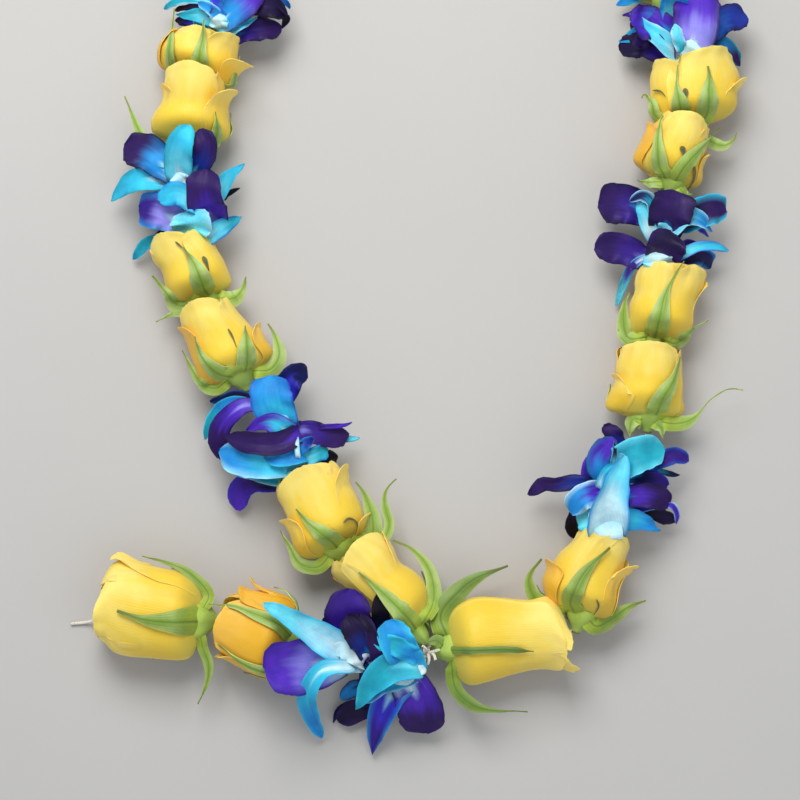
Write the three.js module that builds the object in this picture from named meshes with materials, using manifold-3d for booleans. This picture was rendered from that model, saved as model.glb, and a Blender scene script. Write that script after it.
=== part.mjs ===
// A flower garland laid flat: yellow rose buds and blue orchid blossoms threaded on cotton string.
// The loop's two strands leave one knot, and a short tail hangs from the same knot.
// Millimetres, +Z up. The garland lies on Z = 0 and its box is centred on the origin.
import * as THREE from "three";
import { mergeVertices } from "three/addons/utils/BufferGeometryUtils.js";
import Module from "manifold-3d";

const wasm = await Module();
wasm.setup();

// String
const stringRadius = 0.6;
const stringHeight = 17.5;
const stringSides = 8;
const boreSides = 6;
const loopSteps = 60;
const tailSteps = 20;
const knotRadius = 2.4;

// Clearances
const boreClearance = 0.5;
const flowerGap = 0.35;
const floorGap = 2.4;
const crumb = 0.05;

// Rose bud
const budHeight = 33.8;
const budBase = 9.4;
const cupDepth = 15;
const petalWall = 1.5;
const budSides = 10;
const hipSides = 8;
const sepalRoot = 7.4;
const sepalRootRadius = 3;
const sepalStand = 0.85;
const sepalThickness = 1.2;

// Orchid blossom
const columnRadius = 2.6;
const columnLength = 12;
const columnShare = 0.72;
const columnSides = 6;
const petalRoot = 0.4;
const petalThickness = 1.3;
const petalCup = 0.015;

// Outlines: [share of length, share of width], and the hip in millimetres
const budOutline = [[0, 0.3], [0.07, 0.72], [0.22, 0.98], [0.5, 0.98], [0.8, 0.86], [1, 0.74]];
const cupOutline = [[0, 1], [0.7, 0.6], [1, 0]];
const hipOutline = [[-2.5, 0], [-2.5, 2.2], [1, 3], [5.5, 5.4], [8.8, 4], [8.8, 0]];
const sepalWidths = [0.6, 0.95, 1, 0.55];
const petalOutline = [[0, 0.32], [0.3, 0.68], [0.6, 1], [0.85, 0.8]];

const petalYellow = new THREE.MeshStandardMaterial({ color: 0xf8d443, roughness: 0.55, metalness: 0 });
const calyxGreen = new THREE.MeshStandardMaterial({ color: 0x7fa24a, roughness: 0.6, metalness: 0 });
const orchidBlue = new THREE.MeshStandardMaterial({ color: 0x1f7fc8, roughness: 0.5, metalness: 0 });
const cottonWhite = new THREE.MeshStandardMaterial({ color: 0xe9e4d6, roughness: 0.9, metalness: 0 });

// A strand is its flowers in threading order, each at the point where the string enters its base.
// A rose has its width, its length from base to open tip, and five sepals:
// [angle round the bud from its right side, reach along the bud, lift off the bud, width].
// A blossom has dorsal sepal, two petals, two side sepals and lip, each by its middle and its tip:
// [right, ahead, up], measured from the base along the strand, and its width.
const leftStrand = [
  {
    name: "rose_06", at: [10.8, -108, 17.5], width: 34, length: 54,
    sepals: [[90, 41, 0.5, 8], [10, 31, 5, 8], [180, 36, 3, 5], [-35, 16, 3, 7], [-145, 18, 2, 6]],
  },
  {
    name: "rose_05", at: [-23.9, -72, 17.5], width: 34, length: 47,
    sepals: [[120, 25, 0.5, 8], [20, 22, 5, 8], [185, 17, 4, 5], [-12, 14, 19, 5], [70, 12, 0.5, 6]],
  },
  {
    name: "orchid_03_lower", at: [-43.7, -33.3, 17.5],
    petals: [
      [[-12, 20, 12], [-32, 30, 10], 12],
      [[-15, 11, 6], [-31, 23, 3], 14],
      [[14, 6, 1], [29, 7, 0], 8],
      [[-17, 0, -7], [-34, -3, -12], 13],
      [[9, 4, 0], [15, 1, -6], 9],
      [[2, 8, 7], [6, 16, 10], 7],
    ],
  },
  {
    name: "orchid_03_upper", at: [-50.4, -14.9, 17.5],
    petals: [
      [[3, 14, 11], [10, 24, 13], 17],
      [[-8, 25, 8], [-30, 23, 0], 9],
      [[11, -8, 5], [22, -17, 3], 11],
      [[-4, 21, -3], [-16, 32, -8], 9],
      [[8, 10, 0], [22, 14, -4], 9],
      [[-3, 8, 6], [-11, 12, 8], 8],
    ],
  },
  {
    name: "rose_04", at: [-68.9, 5.9, 17.5], width: 37, length: 43,
    sepals: [[130, 23, 0.5, 8], [62, 15, 0.5, 9], [5, 16, 2, 7], [185, 12, 1, 8], [-40, 12, 2, 6]],
  },
  {
    name: "rose_03", at: [-83.7, 41.4, 17.5], width: 33, length: 37,
    sepals: [[105, 25, 0.5, 9], [172, 16, 5, 6.5], [205, 1, 11, 5], [12, 4, 5, 6], [-22, 1, 6, 5]],
  },
  {
    name: "orchid_02_lower", at: [-94.5, 73.4, 17.5],
    petals: [
      [[7, 10, 9], [12, 27, 15], 13],
      [[-9, 12, 6], [-19, 16, 3], 14],
      [[13, 2, 4], [24, 5, 1], 11],
      [[-16, 0, -6], [-27, -4, -11], 6],
      [[7, 3, -8], [18, 10, -12], 8],
      [[-1, 12, 5], [-2, 21, 9], 10],
    ],
  },
  {
    name: "orchid_02_upper", at: [-99, 96.8, 17.5],
    petals: [
      [[-2, 12, 11], [-6, 27, 16], 12.5],
      [[-14, 7, 7], [-30, 6, 5], 13],
      [[7, 12, 9], [1, 26, 15], 9],
      [[-17, -3, 2], [-26, -18, -7], 9],
      [[15, 4, -3], [24, 20, -8], 10],
      [[8, 3, -4], [12, 12, -9], 7],
    ],
  },
  {
    name: "rose_02", at: [-93.6, 109.8, 17.5], width: 34.5, length: 40.5,
    sepals: [[190, 19, 14, 5], [45, 11, 0.5, 6], [115, 10, 0.5, 7], [-20, 14, 2, 6], [-150, 12, 2, 6]],
  },
  {
    name: "rose_01", at: [-92.7, 138, 17.5], width: 34, length: 33,
    sepals: [[100, 23, 0.5, 8], [168, 27, 3, 4.5], [20, 14, 2, 6], [-35, 12, 2, 6], [-150, 14, 2, 6]],
  },
  {
    name: "orchid_01_lower", at: [-84.6, 167.9, 17.5],
    petals: [
      [[13, 9, 9], [23, 17, 10], 18],
      [[-9, 2, 4], [-20, 2, 0], 9],
      [[18, 4, 4], [32, 0, -1], 12],
      [[-12, 7, 1], [-24, 8, -5], 6],
      [[26, 6, 2], [36, 2, -4], 7],
      [[4, 7, 6], [5, 13, 9], 8],
    ],
  },
  { name: "orchid_01_upper", at: [-81.5, 186, 17.5], turn: 24 },
  {
    name: "rose_20", at: [-76.5, 204, 17.5], width: 34, length: 41,
    sepals: [[82, 27, 0.5, 9], [18, 20, 3, 7], [150, 24, 0.5, 8], [-35, 14, 3, 6], [-150, 14, 2, 6]],
  },
  {
    name: "rose_19", at: [-61, 236, 17.5], width: 35, length: 40,
    sepals: [[98, 26, 0.5, 9], [30, 18, 2, 8], [172, 20, 8, 6], [-30, 16, 3, 6], [-140, 12, 2, 6]],
  },
  { name: "orchid_09_lower", at: [-37, 262.5, 17.5], turn: -20 },
  { name: "orchid_09_upper", at: [-22, 271.5, 17.5], turn: 16 },
  {
    name: "rose_18", at: [-3.5, 278, 17.5], width: 34, length: 41,
    sepals: [[76, 28, 0.5, 9], [8, 22, 6, 7], [140, 22, 0.5, 8], [-40, 14, 3, 6], [-155, 14, 3, 6]],
  },
];
const rightStrand = [
  {
    name: "rose_12", at: [16.2, -112.5, 17.5], width: 38, length: 66,
    sepals: [[72, 36, 0.5, 6], [172, 26, 14, 8.5], [5, 28, 14, 7], [118, -8, 4, 5], [-40, 10, 2, 6]],
  },
  {
    name: "rose_11", at: [79.7, -102.6, 17.5], width: 33, length: 46,
    sepals: [[88, 31, 0.5, 9], [178, 11, 10, 6], [25, 10, 2, 7], [-8, 4, 4, 6], [205, 4, 5, 5]],
  },
  {
    name: "orchid_06_lower", at: [92.7, -60.8, 17.5],
    petals: [
      [[-5, 19, 12], [-6, 35, 16], 8],
      [[-13, 11, 5], [-21, 6, 3], 13],
      [[8, 21, 6], [25, 22, 1], 12],
      [[-20, 17, 6], [-39, 4, 1], 8],
      [[10, 9, 1], [21, 11, -3], 10],
      [[-8, 3, 4], [-13, -3, -2], 9],
    ],
  },
  {
    name: "orchid_06_upper", at: [102.6, -36, 17.5],
    petals: [
      [[-1, 11, 12], [4, 19, 14], 16],
      [[-19, 6, 5], [-13, -4, 0], 9],
      [[12, 15, 6], [22, 19, 2], 8],
      [[-10, 11, 4], [-20, 19, 0], 8],
      [[7, 4, 2], [18, 5, -2], 9],
      [[8, 6, -3], [21, 11, -6], 5],
    ],
  },
  {
    name: "rose_10", at: [111.6, -12.6, 17.5], width: 34.5, length: 37.5,
    sepals: [[50, 25, 0.5, 9], [0, 8, 27, 5], [150, -8, 4, 7], [60, -7, 3, 5], [-150, 12, 1, 6]],
  },
  {
    name: "rose_09", at: [113.4, 21.6, 17.5], width: 32, length: 41,
    sepals: [[75, 32, 0.5, 10], [172, 18, 2, 7], [5, 8, 7, 6], [-22, -1, 4, 5], [-150, 12, 2, 6]],
  },
  {
    name: "orchid_05_lower", at: [119.3, 62.1, 17.5],
    petals: [
      [[3, 6, 11], [3, 11, 18], 17],
      [[-14, 10, 3], [-27, 17, -1], 14],
      [[16, 1, 5], [29, -4, 1], 6.5],
      [[-15, 2, 0], [-28, -10, -8], 6],
      [[13, -2, -3], [19, -9, -9], 9],
      [[8, 2, 4], [13, 5, 8], 8],
    ],
  },
  {
    name: "orchid_05_upper", at: [115.7, 72.9, 17.5],
    petals: [
      [[3, 13, 10], [5, 23, 13], 18],
      [[-16, 14, 6], [-25, 5, -1], 14],
      [[18, 15, 3], [28, 21, -1], 15],
      [[-7, 8, 10], [-10, 18, 12], 9],
      [[13, 13, 7], [23, 7, 1], 8],
      [[-14, 12, 2], [-17, 6, 0], 5],
    ],
  },
  {
    name: "rose_08", at: [120.2, 91.8, 17.5], width: 33, length: 36,
    sepals: [[140, 21, 0.5, 8], [60, 21, 1, 8], [15, 26, 3, 6], [188, 4, 3, 7], [-35, 6, 2, 6]],
  },
  {
    name: "rose_07", at: [130.5, 117.9, 17.5], width: 40, length: 40.5,
    sepals: [[110, 27, 0.5, 8], [68, 22, 0.5, 8.5], [180, 10, 3, 7], [0, 12, 2, 6], [-145, 14, 2, 6]],
  },
  {
    name: "orchid_04_lower", at: [129.6, 154.4, 17.5],
    petals: [
      [[7, 13, 9], [16, 24, 11], 21],
      [[-7, 22, 8], [-20, 28, 4], 10],
      [[19, 9, 6], [31, 6, 2], 13],
      [[-14, 11, 1], [-27, 15, -5], 14],
      [[17, 0, 2], [20, -12, -5], 9],
      [[-9, 11, 10], [-16, 27, 12], 9],
    ],
  },
  { name: "orchid_04_upper", at: [126, 163, 17.5], turn: -14 },
  {
    name: "rose_15", at: [120.6, 173, 17.5], width: 34, length: 37,
    sepals: [[95, 23, 0.5, 8], [22, 18, 3, 7], [160, 20, 4, 7], [-35, 14, 3, 6], [-145, 14, 2, 6]],
  },
  {
    name: "rose_16", at: [120.5, 203, 17.5], width: 35, length: 42,
    sepals: [[84, 28, 0.5, 9], [12, 20, 7, 6], [155, 24, 0.5, 8], [-30, 14, 3, 6], [-150, 14, 2, 6]],
  },
  { name: "orchid_08_lower", at: [109.5, 237, 17.5], turn: 18 },
  { name: "orchid_08_upper", at: [99, 252, 17.5], turn: -22 },
  {
    name: "rose_17", at: [85.5, 265, 17.5], width: 34, length: 41,
    sepals: [[102, 27, 0.5, 9], [40, 22, 0.5, 8], [175, 20, 6, 7], [-38, 14, 3, 6], [-148, 14, 2, 6]],
  },
];
const tailStrand = [
  {
    name: "orchid_07_lower", at: [8.1, -119.3, 17.5],
    petals: [
      [[-3, 15, 12], [-22, 25, 8], 13],
      [[-11, 0, 1], [-30, -5, -4], 20],
      [[8, 9, 8], [18, 14, 9], 10],
      [[-19, 12, -5], [-41, 16, -14], 10],
      [[10, 14, 3], [28, 20, 2], 7],
      [[-13, 14, -2], [-17, 22, -5], 6],
    ],
  },
  {
    name: "orchid_07_upper", at: [-17.1, -117, 17.5],
    petals: [
      [[7, 22, 9], [16, 49, 5], 13],
      [[-7, 23, 4], [-13, 42, 2], 26],
      [[13, 8, 6], [33, 12, 8], 21],
      [[-20, 21, -2], [-37, 10, -12], 8],
      [[-15, 5, -8], [-31, 7, -13], 8],
      [[9, 3, 10], [18, 8, 13], 7],
    ],
  },
  {
    name: "rose_13", at: [-43.7, -111.6, 17.5], width: 37, length: 44,
    sepals: [[50, 35, 0.5, 6], [135, 28, 0.5, 6], [0, 14, 2, 6], [-40, 12, 2, 6], [200, 16, 2, 6]],
  },
  {
    name: "rose_14", at: [-82.8, -99.5, 17.5], width: 45, tall: 35, length: 54,
    sepals: [[88, 36, 0.5, 11], [12, 28, 3, 5.5], [195, 3, 28, 6], [-150, 20, 1, 7], [-30, 16, 1, 7]],
  },
];

// Where the strings run besides the flowers' own points.
const jointKnot = [12.6, -113.5, 17.5];
const napeKnot = [43, 283, 17.5];
const tailStart = [11.2, -116.6, 17.5];
const tailThroat = [-131, -94, 19];
const tailLoose = [[-138, -97.5, 12], [-143.5, -101.5, 4.4], [-150.5, -102.6, 1.9]];

const up = new THREE.Vector3(0, 0, 1);
const vector = (xyz) => new THREE.Vector3(...xyz);
const points = (strand) => strand.map((flower) => vector(flower.at));

function solidOf(geometry) {
  const bare = geometry.clone();
  bare.deleteAttribute("normal");
  bare.deleteAttribute("uv");
  const merged = mergeVertices(bare, 1e-4);
  return new wasm.Manifold(new wasm.Mesh({
    numProp: 3,
    vertProperties: new Float32Array(merged.attributes.position.array),
    triVerts: new Uint32Array(merged.index.array),
  }));
}

function geometryOf(solid) {
  const mesh = solid.getMesh();
  const geometry = new THREE.BufferGeometry();
  geometry.setAttribute("position", new THREE.BufferAttribute(mesh.vertProperties, 3));
  geometry.setIndex(new THREE.BufferAttribute(mesh.triVerts, 1));
  const flat = geometry.toNonIndexed();
  flat.computeVertexNormals();
  return flat;
}

// The largest body of a solid, without the crumbs that a cut can leave.
function mainBody(solid) {
  return solid.decompose().reduce((largest, body) => (body.volume() > largest.volume() ? body : largest));
}

function shareAt(outline, place) {
  const next = outline.findIndex(([along]) => along >= place);
  if (next <= 0) return outline[next === 0 ? 0 : outline.length - 1][1];
  const [a, wideA] = outline[next - 1];
  const [b, wideB] = outline[next];
  return wideA + (wideB - wideA) * (place - a) / (b - a);
}

// A flower's own frame: X to its right, Y ahead along the strand, Z up.
function frameOf(from, to) {
  const ahead = to.clone().sub(from).normalize();
  const right = ahead.clone().cross(up).normalize();
  const top = right.clone().cross(ahead);
  return new THREE.Matrix4().makeBasis(right, ahead, top).setPosition(from);
}

// A leaf-shaped body along a path, its section a low triangle with its ridge on the outer side.
function blade(path, widths, across, thickness, cup = 0) {
  const rings = path.slice(0, -1).map((point, i) => {
    const along = path[i + 1].clone().sub(path[Math.max(i - 1, 0)]).normalize();
    const side = across.clone().addScaledVector(along, -across.dot(along)).normalize();
    const outward = along.clone().cross(side);
    const half = widths[i] / 2;
    const edge = -cup * half * half;
    return [[-half, edge], [0, thickness], [half, edge]].map(
      ([sideways, out]) => point.clone().addScaledVector(side, sideways).addScaledVector(outward, out),
    );
  });
  const corners = [...rings.flat(), path.at(-1)];
  const tip = corners.length - 1;
  const faces = [[0, 1, 2]];
  rings.forEach((ring, i) => {
    for (let side = 0; side < 3; side++) {
      const a = 3 * i + side;
      const b = 3 * i + (side + 1) % 3;
      if (i < rings.length - 1) faces.push([a, a + 3, b + 3], [a, b + 3, b]);
      else faces.push([a, tip, b]);
    }
  });
  const geometry = new THREE.BufferGeometry().setFromPoints(corners);
  geometry.setIndex(faces.flat());
  const solid = solidOf(geometry);
  return solid.volume() > 0 ? solid : solidOf(turnedOut(geometry));
}

function turnedOut(geometry) {
  const index = geometry.index.array;
  for (let i = 0; i < index.length; i += 3) [index[i + 1], index[i + 2]] = [index[i + 2], index[i + 1]];
  return geometry;
}

// A round body about the strand from [along, radius] points that start and end on the axis.
function lathe(profile, sides) {
  return new THREE.LatheGeometry(profile.map(([along, radius]) => new THREE.Vector2(radius, along)), sides);
}

// The height of a rose bud where the strand lies level.
const tallOf = (flower) => flower.tall ?? budHeight;

// The bud: petals wrapped into one body, flattened to its height, with an open cup at its tip.
function roseBud(flower, grow) {
  const half = flower.width / 2;
  const reach = flower.length - budBase;
  const outer = budOutline.map(([along, wide]) => [budBase + along * reach, wide * half + grow]);
  const rim = budOutline.at(-1)[1] * half - petalWall;
  const inner = cupOutline.map(([deep, wide]) => [flower.length - deep * cupDepth, wide * rim]);
  const closed = grow ? [[flower.length + grow, 0]] : inner;
  const profile = [[budBase - grow, 0], ...outer, ...closed];
  const bud = lathe(profile, budSides);
  bud.scale(1, 1, tallOf(flower) / flower.width);
  return solidOf(bud);
}

// The calyx: stub and hip on the axis, and five sepals that lie on the bud or stand off it.
function roseCalyx(flower, grow) {
  const hip = solidOf(lathe(hipOutline.map(([along, wide]) => [along, wide && wide + grow]), hipSides));
  return flower.sepals.reduce((calyx, sepal) => calyx.add(roseSepal(flower, sepal, grow)), hip);
}

function roseSepal(flower, [angle, reach, lift, width], grow) {
  const turn = THREE.MathUtils.degToRad(angle);
  const bud = flower.length - budBase;
  // The first bends of a sepal match the bends of the bud that it lies on.
  const bends = budOutline.slice(1, 3).map(([share], i) => {
    const match = (budBase + bud * share - sepalRoot) / reach;
    return reach > 0 && match < 0.25 * (i + 1) ? match : 0.2 * (i + 1);
  });
  const path = [...bends, 0.72, 1].map((share) => {
    const along = sepalRoot + reach * share;
    const wide = shareAt(budOutline, (along - budBase) / bud);
    const stand = sepalStand - grow + lift * share ** 1.2;
    return new THREE.Vector3(
      Math.cos(turn) * (wide * flower.width / 2 + stand),
      along,
      Math.max(Math.sin(turn) * (wide * tallOf(flower) / 2 + stand), floorGap - stringHeight),
    );
  });
  const foot = new THREE.Vector3(Math.cos(turn), 0, Math.sin(turn)).multiplyScalar(sepalRootRadius);
  path.unshift(foot.setY(sepalRoot));
  const widths = sepalWidths.map((wide) => wide * width + 2 * grow);
  const across = new THREE.Vector3(-Math.sin(turn), 0, Math.cos(turn));
  return blade(path, widths, across, sepalThickness + 2 * grow);
}

// A blossom that stands open all round, turned about its own axis.
// Dorsal sepal, petals, side sepals and lip: [angle round, opening from the axis, length, width].
const openSet = [
  [90, 52, 26, 13],
  [150, 64, 28, 15],
  [30, 64, 28, 15],
  [205, 66, 27, 10],
  [-25, 66, 27, 10],
  [62, 20, 15, 8],
];

function openPetals(turn) {
  return openSet.map(([round, open, long, width]) => {
    const angle = THREE.MathUtils.degToRad(round + turn);
    const spread = THREE.MathUtils.degToRad(open);
    const at = (share, lean) => [
      Math.cos(angle) * Math.sin(spread) * long * share,
      Math.cos(spread) * long * share + lean,
      Math.sin(angle) * Math.sin(spread) * long * share,
    ];
    return [at(0.55, 4), at(1, 2), width];
  });
}

function blossom(flower, grow) {
  const profile = [[-1, 0], [-1, 1.8], [3, columnRadius], [flower.column, 2], [flower.column, 0]];
  const column = solidOf(lathe(profile.map(([along, wide]) => [along, wide && wide + grow]), columnSides));
  const petals = flower.petals ?? openPetals(flower.turn);
  return petals.reduce((whole, petal) => whole.add(orchidPetal(flower, petal, grow)), column);
}

function orchidPetal(flower, [middle, tip, width], grow) {
  const root = new THREE.Vector3(0, flower.column * petalRoot, 0);
  const end = vector(tip);
  const control = vector(middle).multiplyScalar(2).addScaledVector(root, -0.5).addScaledVector(end, -0.5);
  const curve = new THREE.QuadraticBezierCurve3(root, control, end);
  const places = [...petalOutline, [1, 0]];
  const path = places.map(([share]) => {
    const point = curve.getPoint(share);
    point.z = Math.max(point.z, floorGap - stringHeight);
    return point;
  });
  const chord = end.clone().sub(root).setZ(0);
  const widths = petalOutline.map(([, wide]) => wide * width + 2 * grow);
  return blade(path, widths, chord.cross(up).normalize(), petalThickness + 2 * grow, petalCup);
}

function stringAlong(route, steps, radius, sides) {
  const section = new THREE.Shape();
  for (let side = 0; side < sides; side++) {
    const angle = 2 * Math.PI * side / sides;
    const corner = [radius * Math.cos(angle), radius * Math.sin(angle)];
    if (side) section.lineTo(...corner);
    else section.moveTo(...corner);
  }
  const path = new THREE.CatmullRomCurve3(route, false, "centripetal");
  return solidOf(new THREE.ExtrudeGeometry(section, { steps, extrudePath: path }));
}

function knot(at, radius) {
  return solidOf(new THREE.SphereGeometry(radius, 8, 6).translate(...at));
}

const nape = vector(napeKnot);
const loopRoute = [nape, ...points(leftStrand).reverse(), vector(jointKnot), ...points(rightStrand), nape];
const tailRoute = [vector(tailStart), ...points(tailStrand), vector(tailThroat), ...tailLoose.map(vector)];

function loopString(grow, sides) {
  const knots = knot(napeKnot, knotRadius + grow).add(knot(jointKnot, knotRadius + grow));
  return stringAlong(loopRoute, loopSteps, stringRadius + grow, sides).add(knots);
}

function tailString(grow, sides) {
  return stringAlong(tailRoute, tailSteps, stringRadius + grow, sides);
}

const garland = new THREE.Group();
const placed = [];

// Adds a piece, cut back where a piece placed before it lies, and keeps a grown copy for the later ones.
function place(name, material, solid, grown) {
  const near = placed.filter((other) => boxesMeet(other.box, solid.boundingBox()));
  const cut = near.reduce((left, other) => left.subtract(other.solid), solid);
  const mesh = new THREE.Mesh(geometryOf(mainBody(cut).simplify(crumb)), material);
  mesh.name = name;
  garland.add(mesh);
  placed.push({ solid: grown, box: grown.boundingBox() });
}

function boxesMeet(a, b) {
  return [0, 1, 2].every((axis) => a.min[axis] < b.max[axis] && b.min[axis] < a.max[axis]);
}

function placeFlower(name, material, make, flower) {
  const made = [0, flowerGap].map((grow) => make(flower, grow).transform(flower.frame.elements));
  place(name, material, made[0], made[1]);
}

const strands = [[leftStrand, napeKnot], [rightStrand, napeKnot], [tailStrand, tailThroat]];
for (const [strand, end] of strands) {
  strand.forEach((flower, i) => {
    const next = vector(strand[i + 1]?.at ?? end);
    flower.frame = frameOf(vector(flower.at), next);
    flower.column = Math.min(columnLength, vector(flower.at).distanceTo(next) * columnShare);
  });
}
const flowers = strands.flatMap(([strand]) => strand.toReversed());
const roses = flowers.filter((flower) => flower.sepals);
const orchids = flowers.filter((flower) => !flower.sepals);

place("loop_string", cottonWhite, loopString(0, stringSides), loopString(boreClearance, boreSides));
place("tail_string", cottonWhite, tailString(0, stringSides), tailString(boreClearance, boreSides));
for (const rose of roses) placeFlower(`${rose.name}_calyx`, calyxGreen, roseCalyx, rose);
for (const rose of roses) placeFlower(`${rose.name}_petals`, petalYellow, roseBud, rose);
for (const orchid of orchids) placeFlower(orchid.name, orchidBlue, blossom, orchid);

const box = new THREE.Box3().setFromObject(garland);
const middle = box.getCenter(new THREE.Vector3());
garland.position.set(-middle.x, -middle.y, -box.min.z);

export default garland;
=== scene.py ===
# Flower garland: yellow rose buds and blue dyed orchids on cotton string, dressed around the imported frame.
import math
import random

import bpy
import numpy as np
from mathutils import Matrix, Vector


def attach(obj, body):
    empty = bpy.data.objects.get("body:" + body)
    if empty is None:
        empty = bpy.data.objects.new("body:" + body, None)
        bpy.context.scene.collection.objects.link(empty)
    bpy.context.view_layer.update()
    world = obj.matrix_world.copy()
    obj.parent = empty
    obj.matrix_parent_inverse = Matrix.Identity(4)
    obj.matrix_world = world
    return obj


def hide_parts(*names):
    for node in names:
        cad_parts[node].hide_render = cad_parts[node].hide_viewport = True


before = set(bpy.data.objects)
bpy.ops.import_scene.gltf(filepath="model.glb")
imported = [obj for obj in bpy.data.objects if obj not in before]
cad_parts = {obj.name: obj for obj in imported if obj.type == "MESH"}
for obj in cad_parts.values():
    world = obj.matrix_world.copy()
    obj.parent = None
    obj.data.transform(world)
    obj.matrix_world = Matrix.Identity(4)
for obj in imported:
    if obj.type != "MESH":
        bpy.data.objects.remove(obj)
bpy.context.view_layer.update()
print("frame loaded:", len(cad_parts), "nodes")

mm = 0.001
degree = math.pi / 180
fullTurn = 2 * math.pi
stringHeight = 17.5  # mm above the surface, the same for every flower
napeEnd = (43, 285.4, stringHeight)  # mm, the far end of the nape knot in the layout's own measure
loopPoints = [vertex.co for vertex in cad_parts["loop_string"].data.vertices]
shift = np.array(max(loopPoints, key=lambda point: point.y)) - np.array(napeEnd) * mm


def place(x, y, z=stringHeight):  # a point of the layout in mm, in the row frame
    return np.array((x, y, z)) * mm + shift


def added(name, data):  # a new object, in the scene
    thing = bpy.data.objects.new(name, data)
    bpy.context.scene.collection.objects.link(thing)
    return thing


# Camera and light

view = {"height": 1200, "lens": 120, "sensor": 36}  # mm
studio = {
    "floor": (0.475, 0.47, 0.46), "floorReach": 3, "floorGrain": 0.03,  # reach in m each way
    "sky": (0.92, 0.95, 1.0), "skyStrength": 0.47,
    "key": {"spot": (-160, 640, 880), "size": 0.6, "power": 12.1, "colour": (1, 0.98, 0.95)},
    "fill": {"spot": (300, -500, 700), "size": 1.0, "power": 1.6, "colour": (1, 1, 1)},
}

camera = added("camera", bpy.data.cameras.new("camera"))
camera.data.lens = view["lens"]
camera.data.sensor_width = view["sensor"]
camera.location = place(0, 0, stringHeight + view["height"])
bpy.context.scene.camera = camera
bpy.context.scene.view_settings.view_transform = "Standard"


def softLight(name, spot, size, power, colour):
    light = added(name, bpy.data.lights.new(name, "AREA"))
    light.data.size = size
    light.data.energy = power
    light.data.color = colour
    light.location = place(*spot)
    aim = Vector(place(0, 0)) - light.location
    light.rotation_euler = aim.to_track_quat("-Z", "Y").to_euler()


softLight("keyLight", **studio["key"])
softLight("fillLight", **studio["fill"])
world = bpy.data.worlds.new("studio")
world.use_nodes = True
sky = world.node_tree.nodes["Background"]
sky.inputs["Color"].default_value = (*studio["sky"], 1)
sky.inputs["Strength"].default_value = studio["skyStrength"]
bpy.context.scene.world = world
print("camera and light ready")


# Node trees: a socket wrapper for maths, and one method for every other node


class Socket:
    def __init__(self, graph, socket):
        self.graph = graph
        self.socket = socket

    def __add__(self, other):
        return self.graph.maths("ADD", self, other)

    def __radd__(self, other):
        return self.graph.maths("ADD", other, self)

    def __sub__(self, other):
        return self.graph.maths("SUBTRACT", self, other)

    def __rsub__(self, other):
        return self.graph.maths("SUBTRACT", other, self)

    def __mul__(self, other):
        return self.graph.maths("MULTIPLY", self, other)

    def __rmul__(self, other):
        return self.graph.maths("MULTIPLY", other, self)

    def __truediv__(self, other):
        return self.graph.maths("DIVIDE", self, other)

    def __pow__(self, other):
        return self.graph.maths("POWER", self, other)

    def __neg__(self):
        return self.graph.maths("MULTIPLY", self, -1.0)

    def __abs__(self):
        return self.graph.maths("ABSOLUTE", self)


mixSlots = {"FLOAT": (2, 3, 0), "RGBA": (6, 7, 2)}  # the Mix node's two inputs and its output, for each kind


class Graph:
    def __init__(self, tree):
        self.tree = tree

    def add(self, kind, settings=None, values=None):
        node = self.tree.nodes.new(kind)
        for name, value in (settings or {}).items():
            if name == "curve":
                setCurve(node.mapping, value)
            else:
                setattr(node, name, value)
        for name, value in (values or {}).items():
            if isinstance(value, Socket):
                self.tree.links.new(value.socket, node.inputs[name])
            else:
                node.inputs[name].default_value = value
        return node

    def out(self, node, name=0):
        return Socket(self, node.outputs[name])

    def get(self, kind, settings=None, values=None, name=0):
        return self.out(self.add(kind, settings, values), name)

    def maths(self, operation, *items):
        return self.get("ShaderNodeMath", {"operation": operation}, dict(enumerate(items)))

    def vector(self, operation, *items, scale=None):
        values = dict(enumerate(items))
        if scale is not None:
            values["Scale"] = scale
        name = "Value" if operation == "DOT_PRODUCT" else "Vector"
        return self.get("ShaderNodeVectorMath", {"operation": operation}, values, name)

    def combine(self, x, y, z=0.0):
        return self.get("ShaderNodeCombineXYZ", None, {0: x, 1: y, 2: z})

    def parts(self, vector):
        node = self.add("ShaderNodeSeparateXYZ", None, {0: vector})
        return [self.out(node, axis) for axis in range(3)]

    def ramp(self, value, low, high):  # a smooth step from 0 at low to 1 at high
        values = {"Value": value, "From Min": low, "From Max": high}
        return self.get("ShaderNodeMapRange", {"interpolation_type": "SMOOTHSTEP"}, values)

    def mix(self, factor, a, b, kind="RGBA", blend="MIX"):
        first, second, result = mixSlots[kind]
        settings = {"data_type": kind}
        if kind == "RGBA":
            settings["blend_type"] = blend
            a, b = (item if isinstance(item, Socket) else (*item, 1.0) for item in (a, b))
        return self.get("ShaderNodeMix", settings, {0: factor, first: a, second: b}, result)

    def noise(self, vector, scale, detail):
        return self.get("ShaderNodeTexNoise", None, {"Vector": vector, "Scale": scale, "Detail": detail})


def setCurve(mapping, points):
    curve = mapping.curves[0]
    while len(curve.points) < len(points):
        curve.points.new(0.5, 0.5)
    for point, location in zip(curve.points, points):
        point.location = location
    mapping.update()


# Finishes. A cloud, grain or fuzz is a noise's scale per metre, and a relief a bump's strength and depth (m).


def tint(*screen):  # a screen colour, as the linear one that shaders take
    shares = [part / 255 for part in screen]
    return tuple(share / 12.92 if share <= 0.04045 else ((share + 0.055) / 1.055) ** 2.4 for share in shares)


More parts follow.
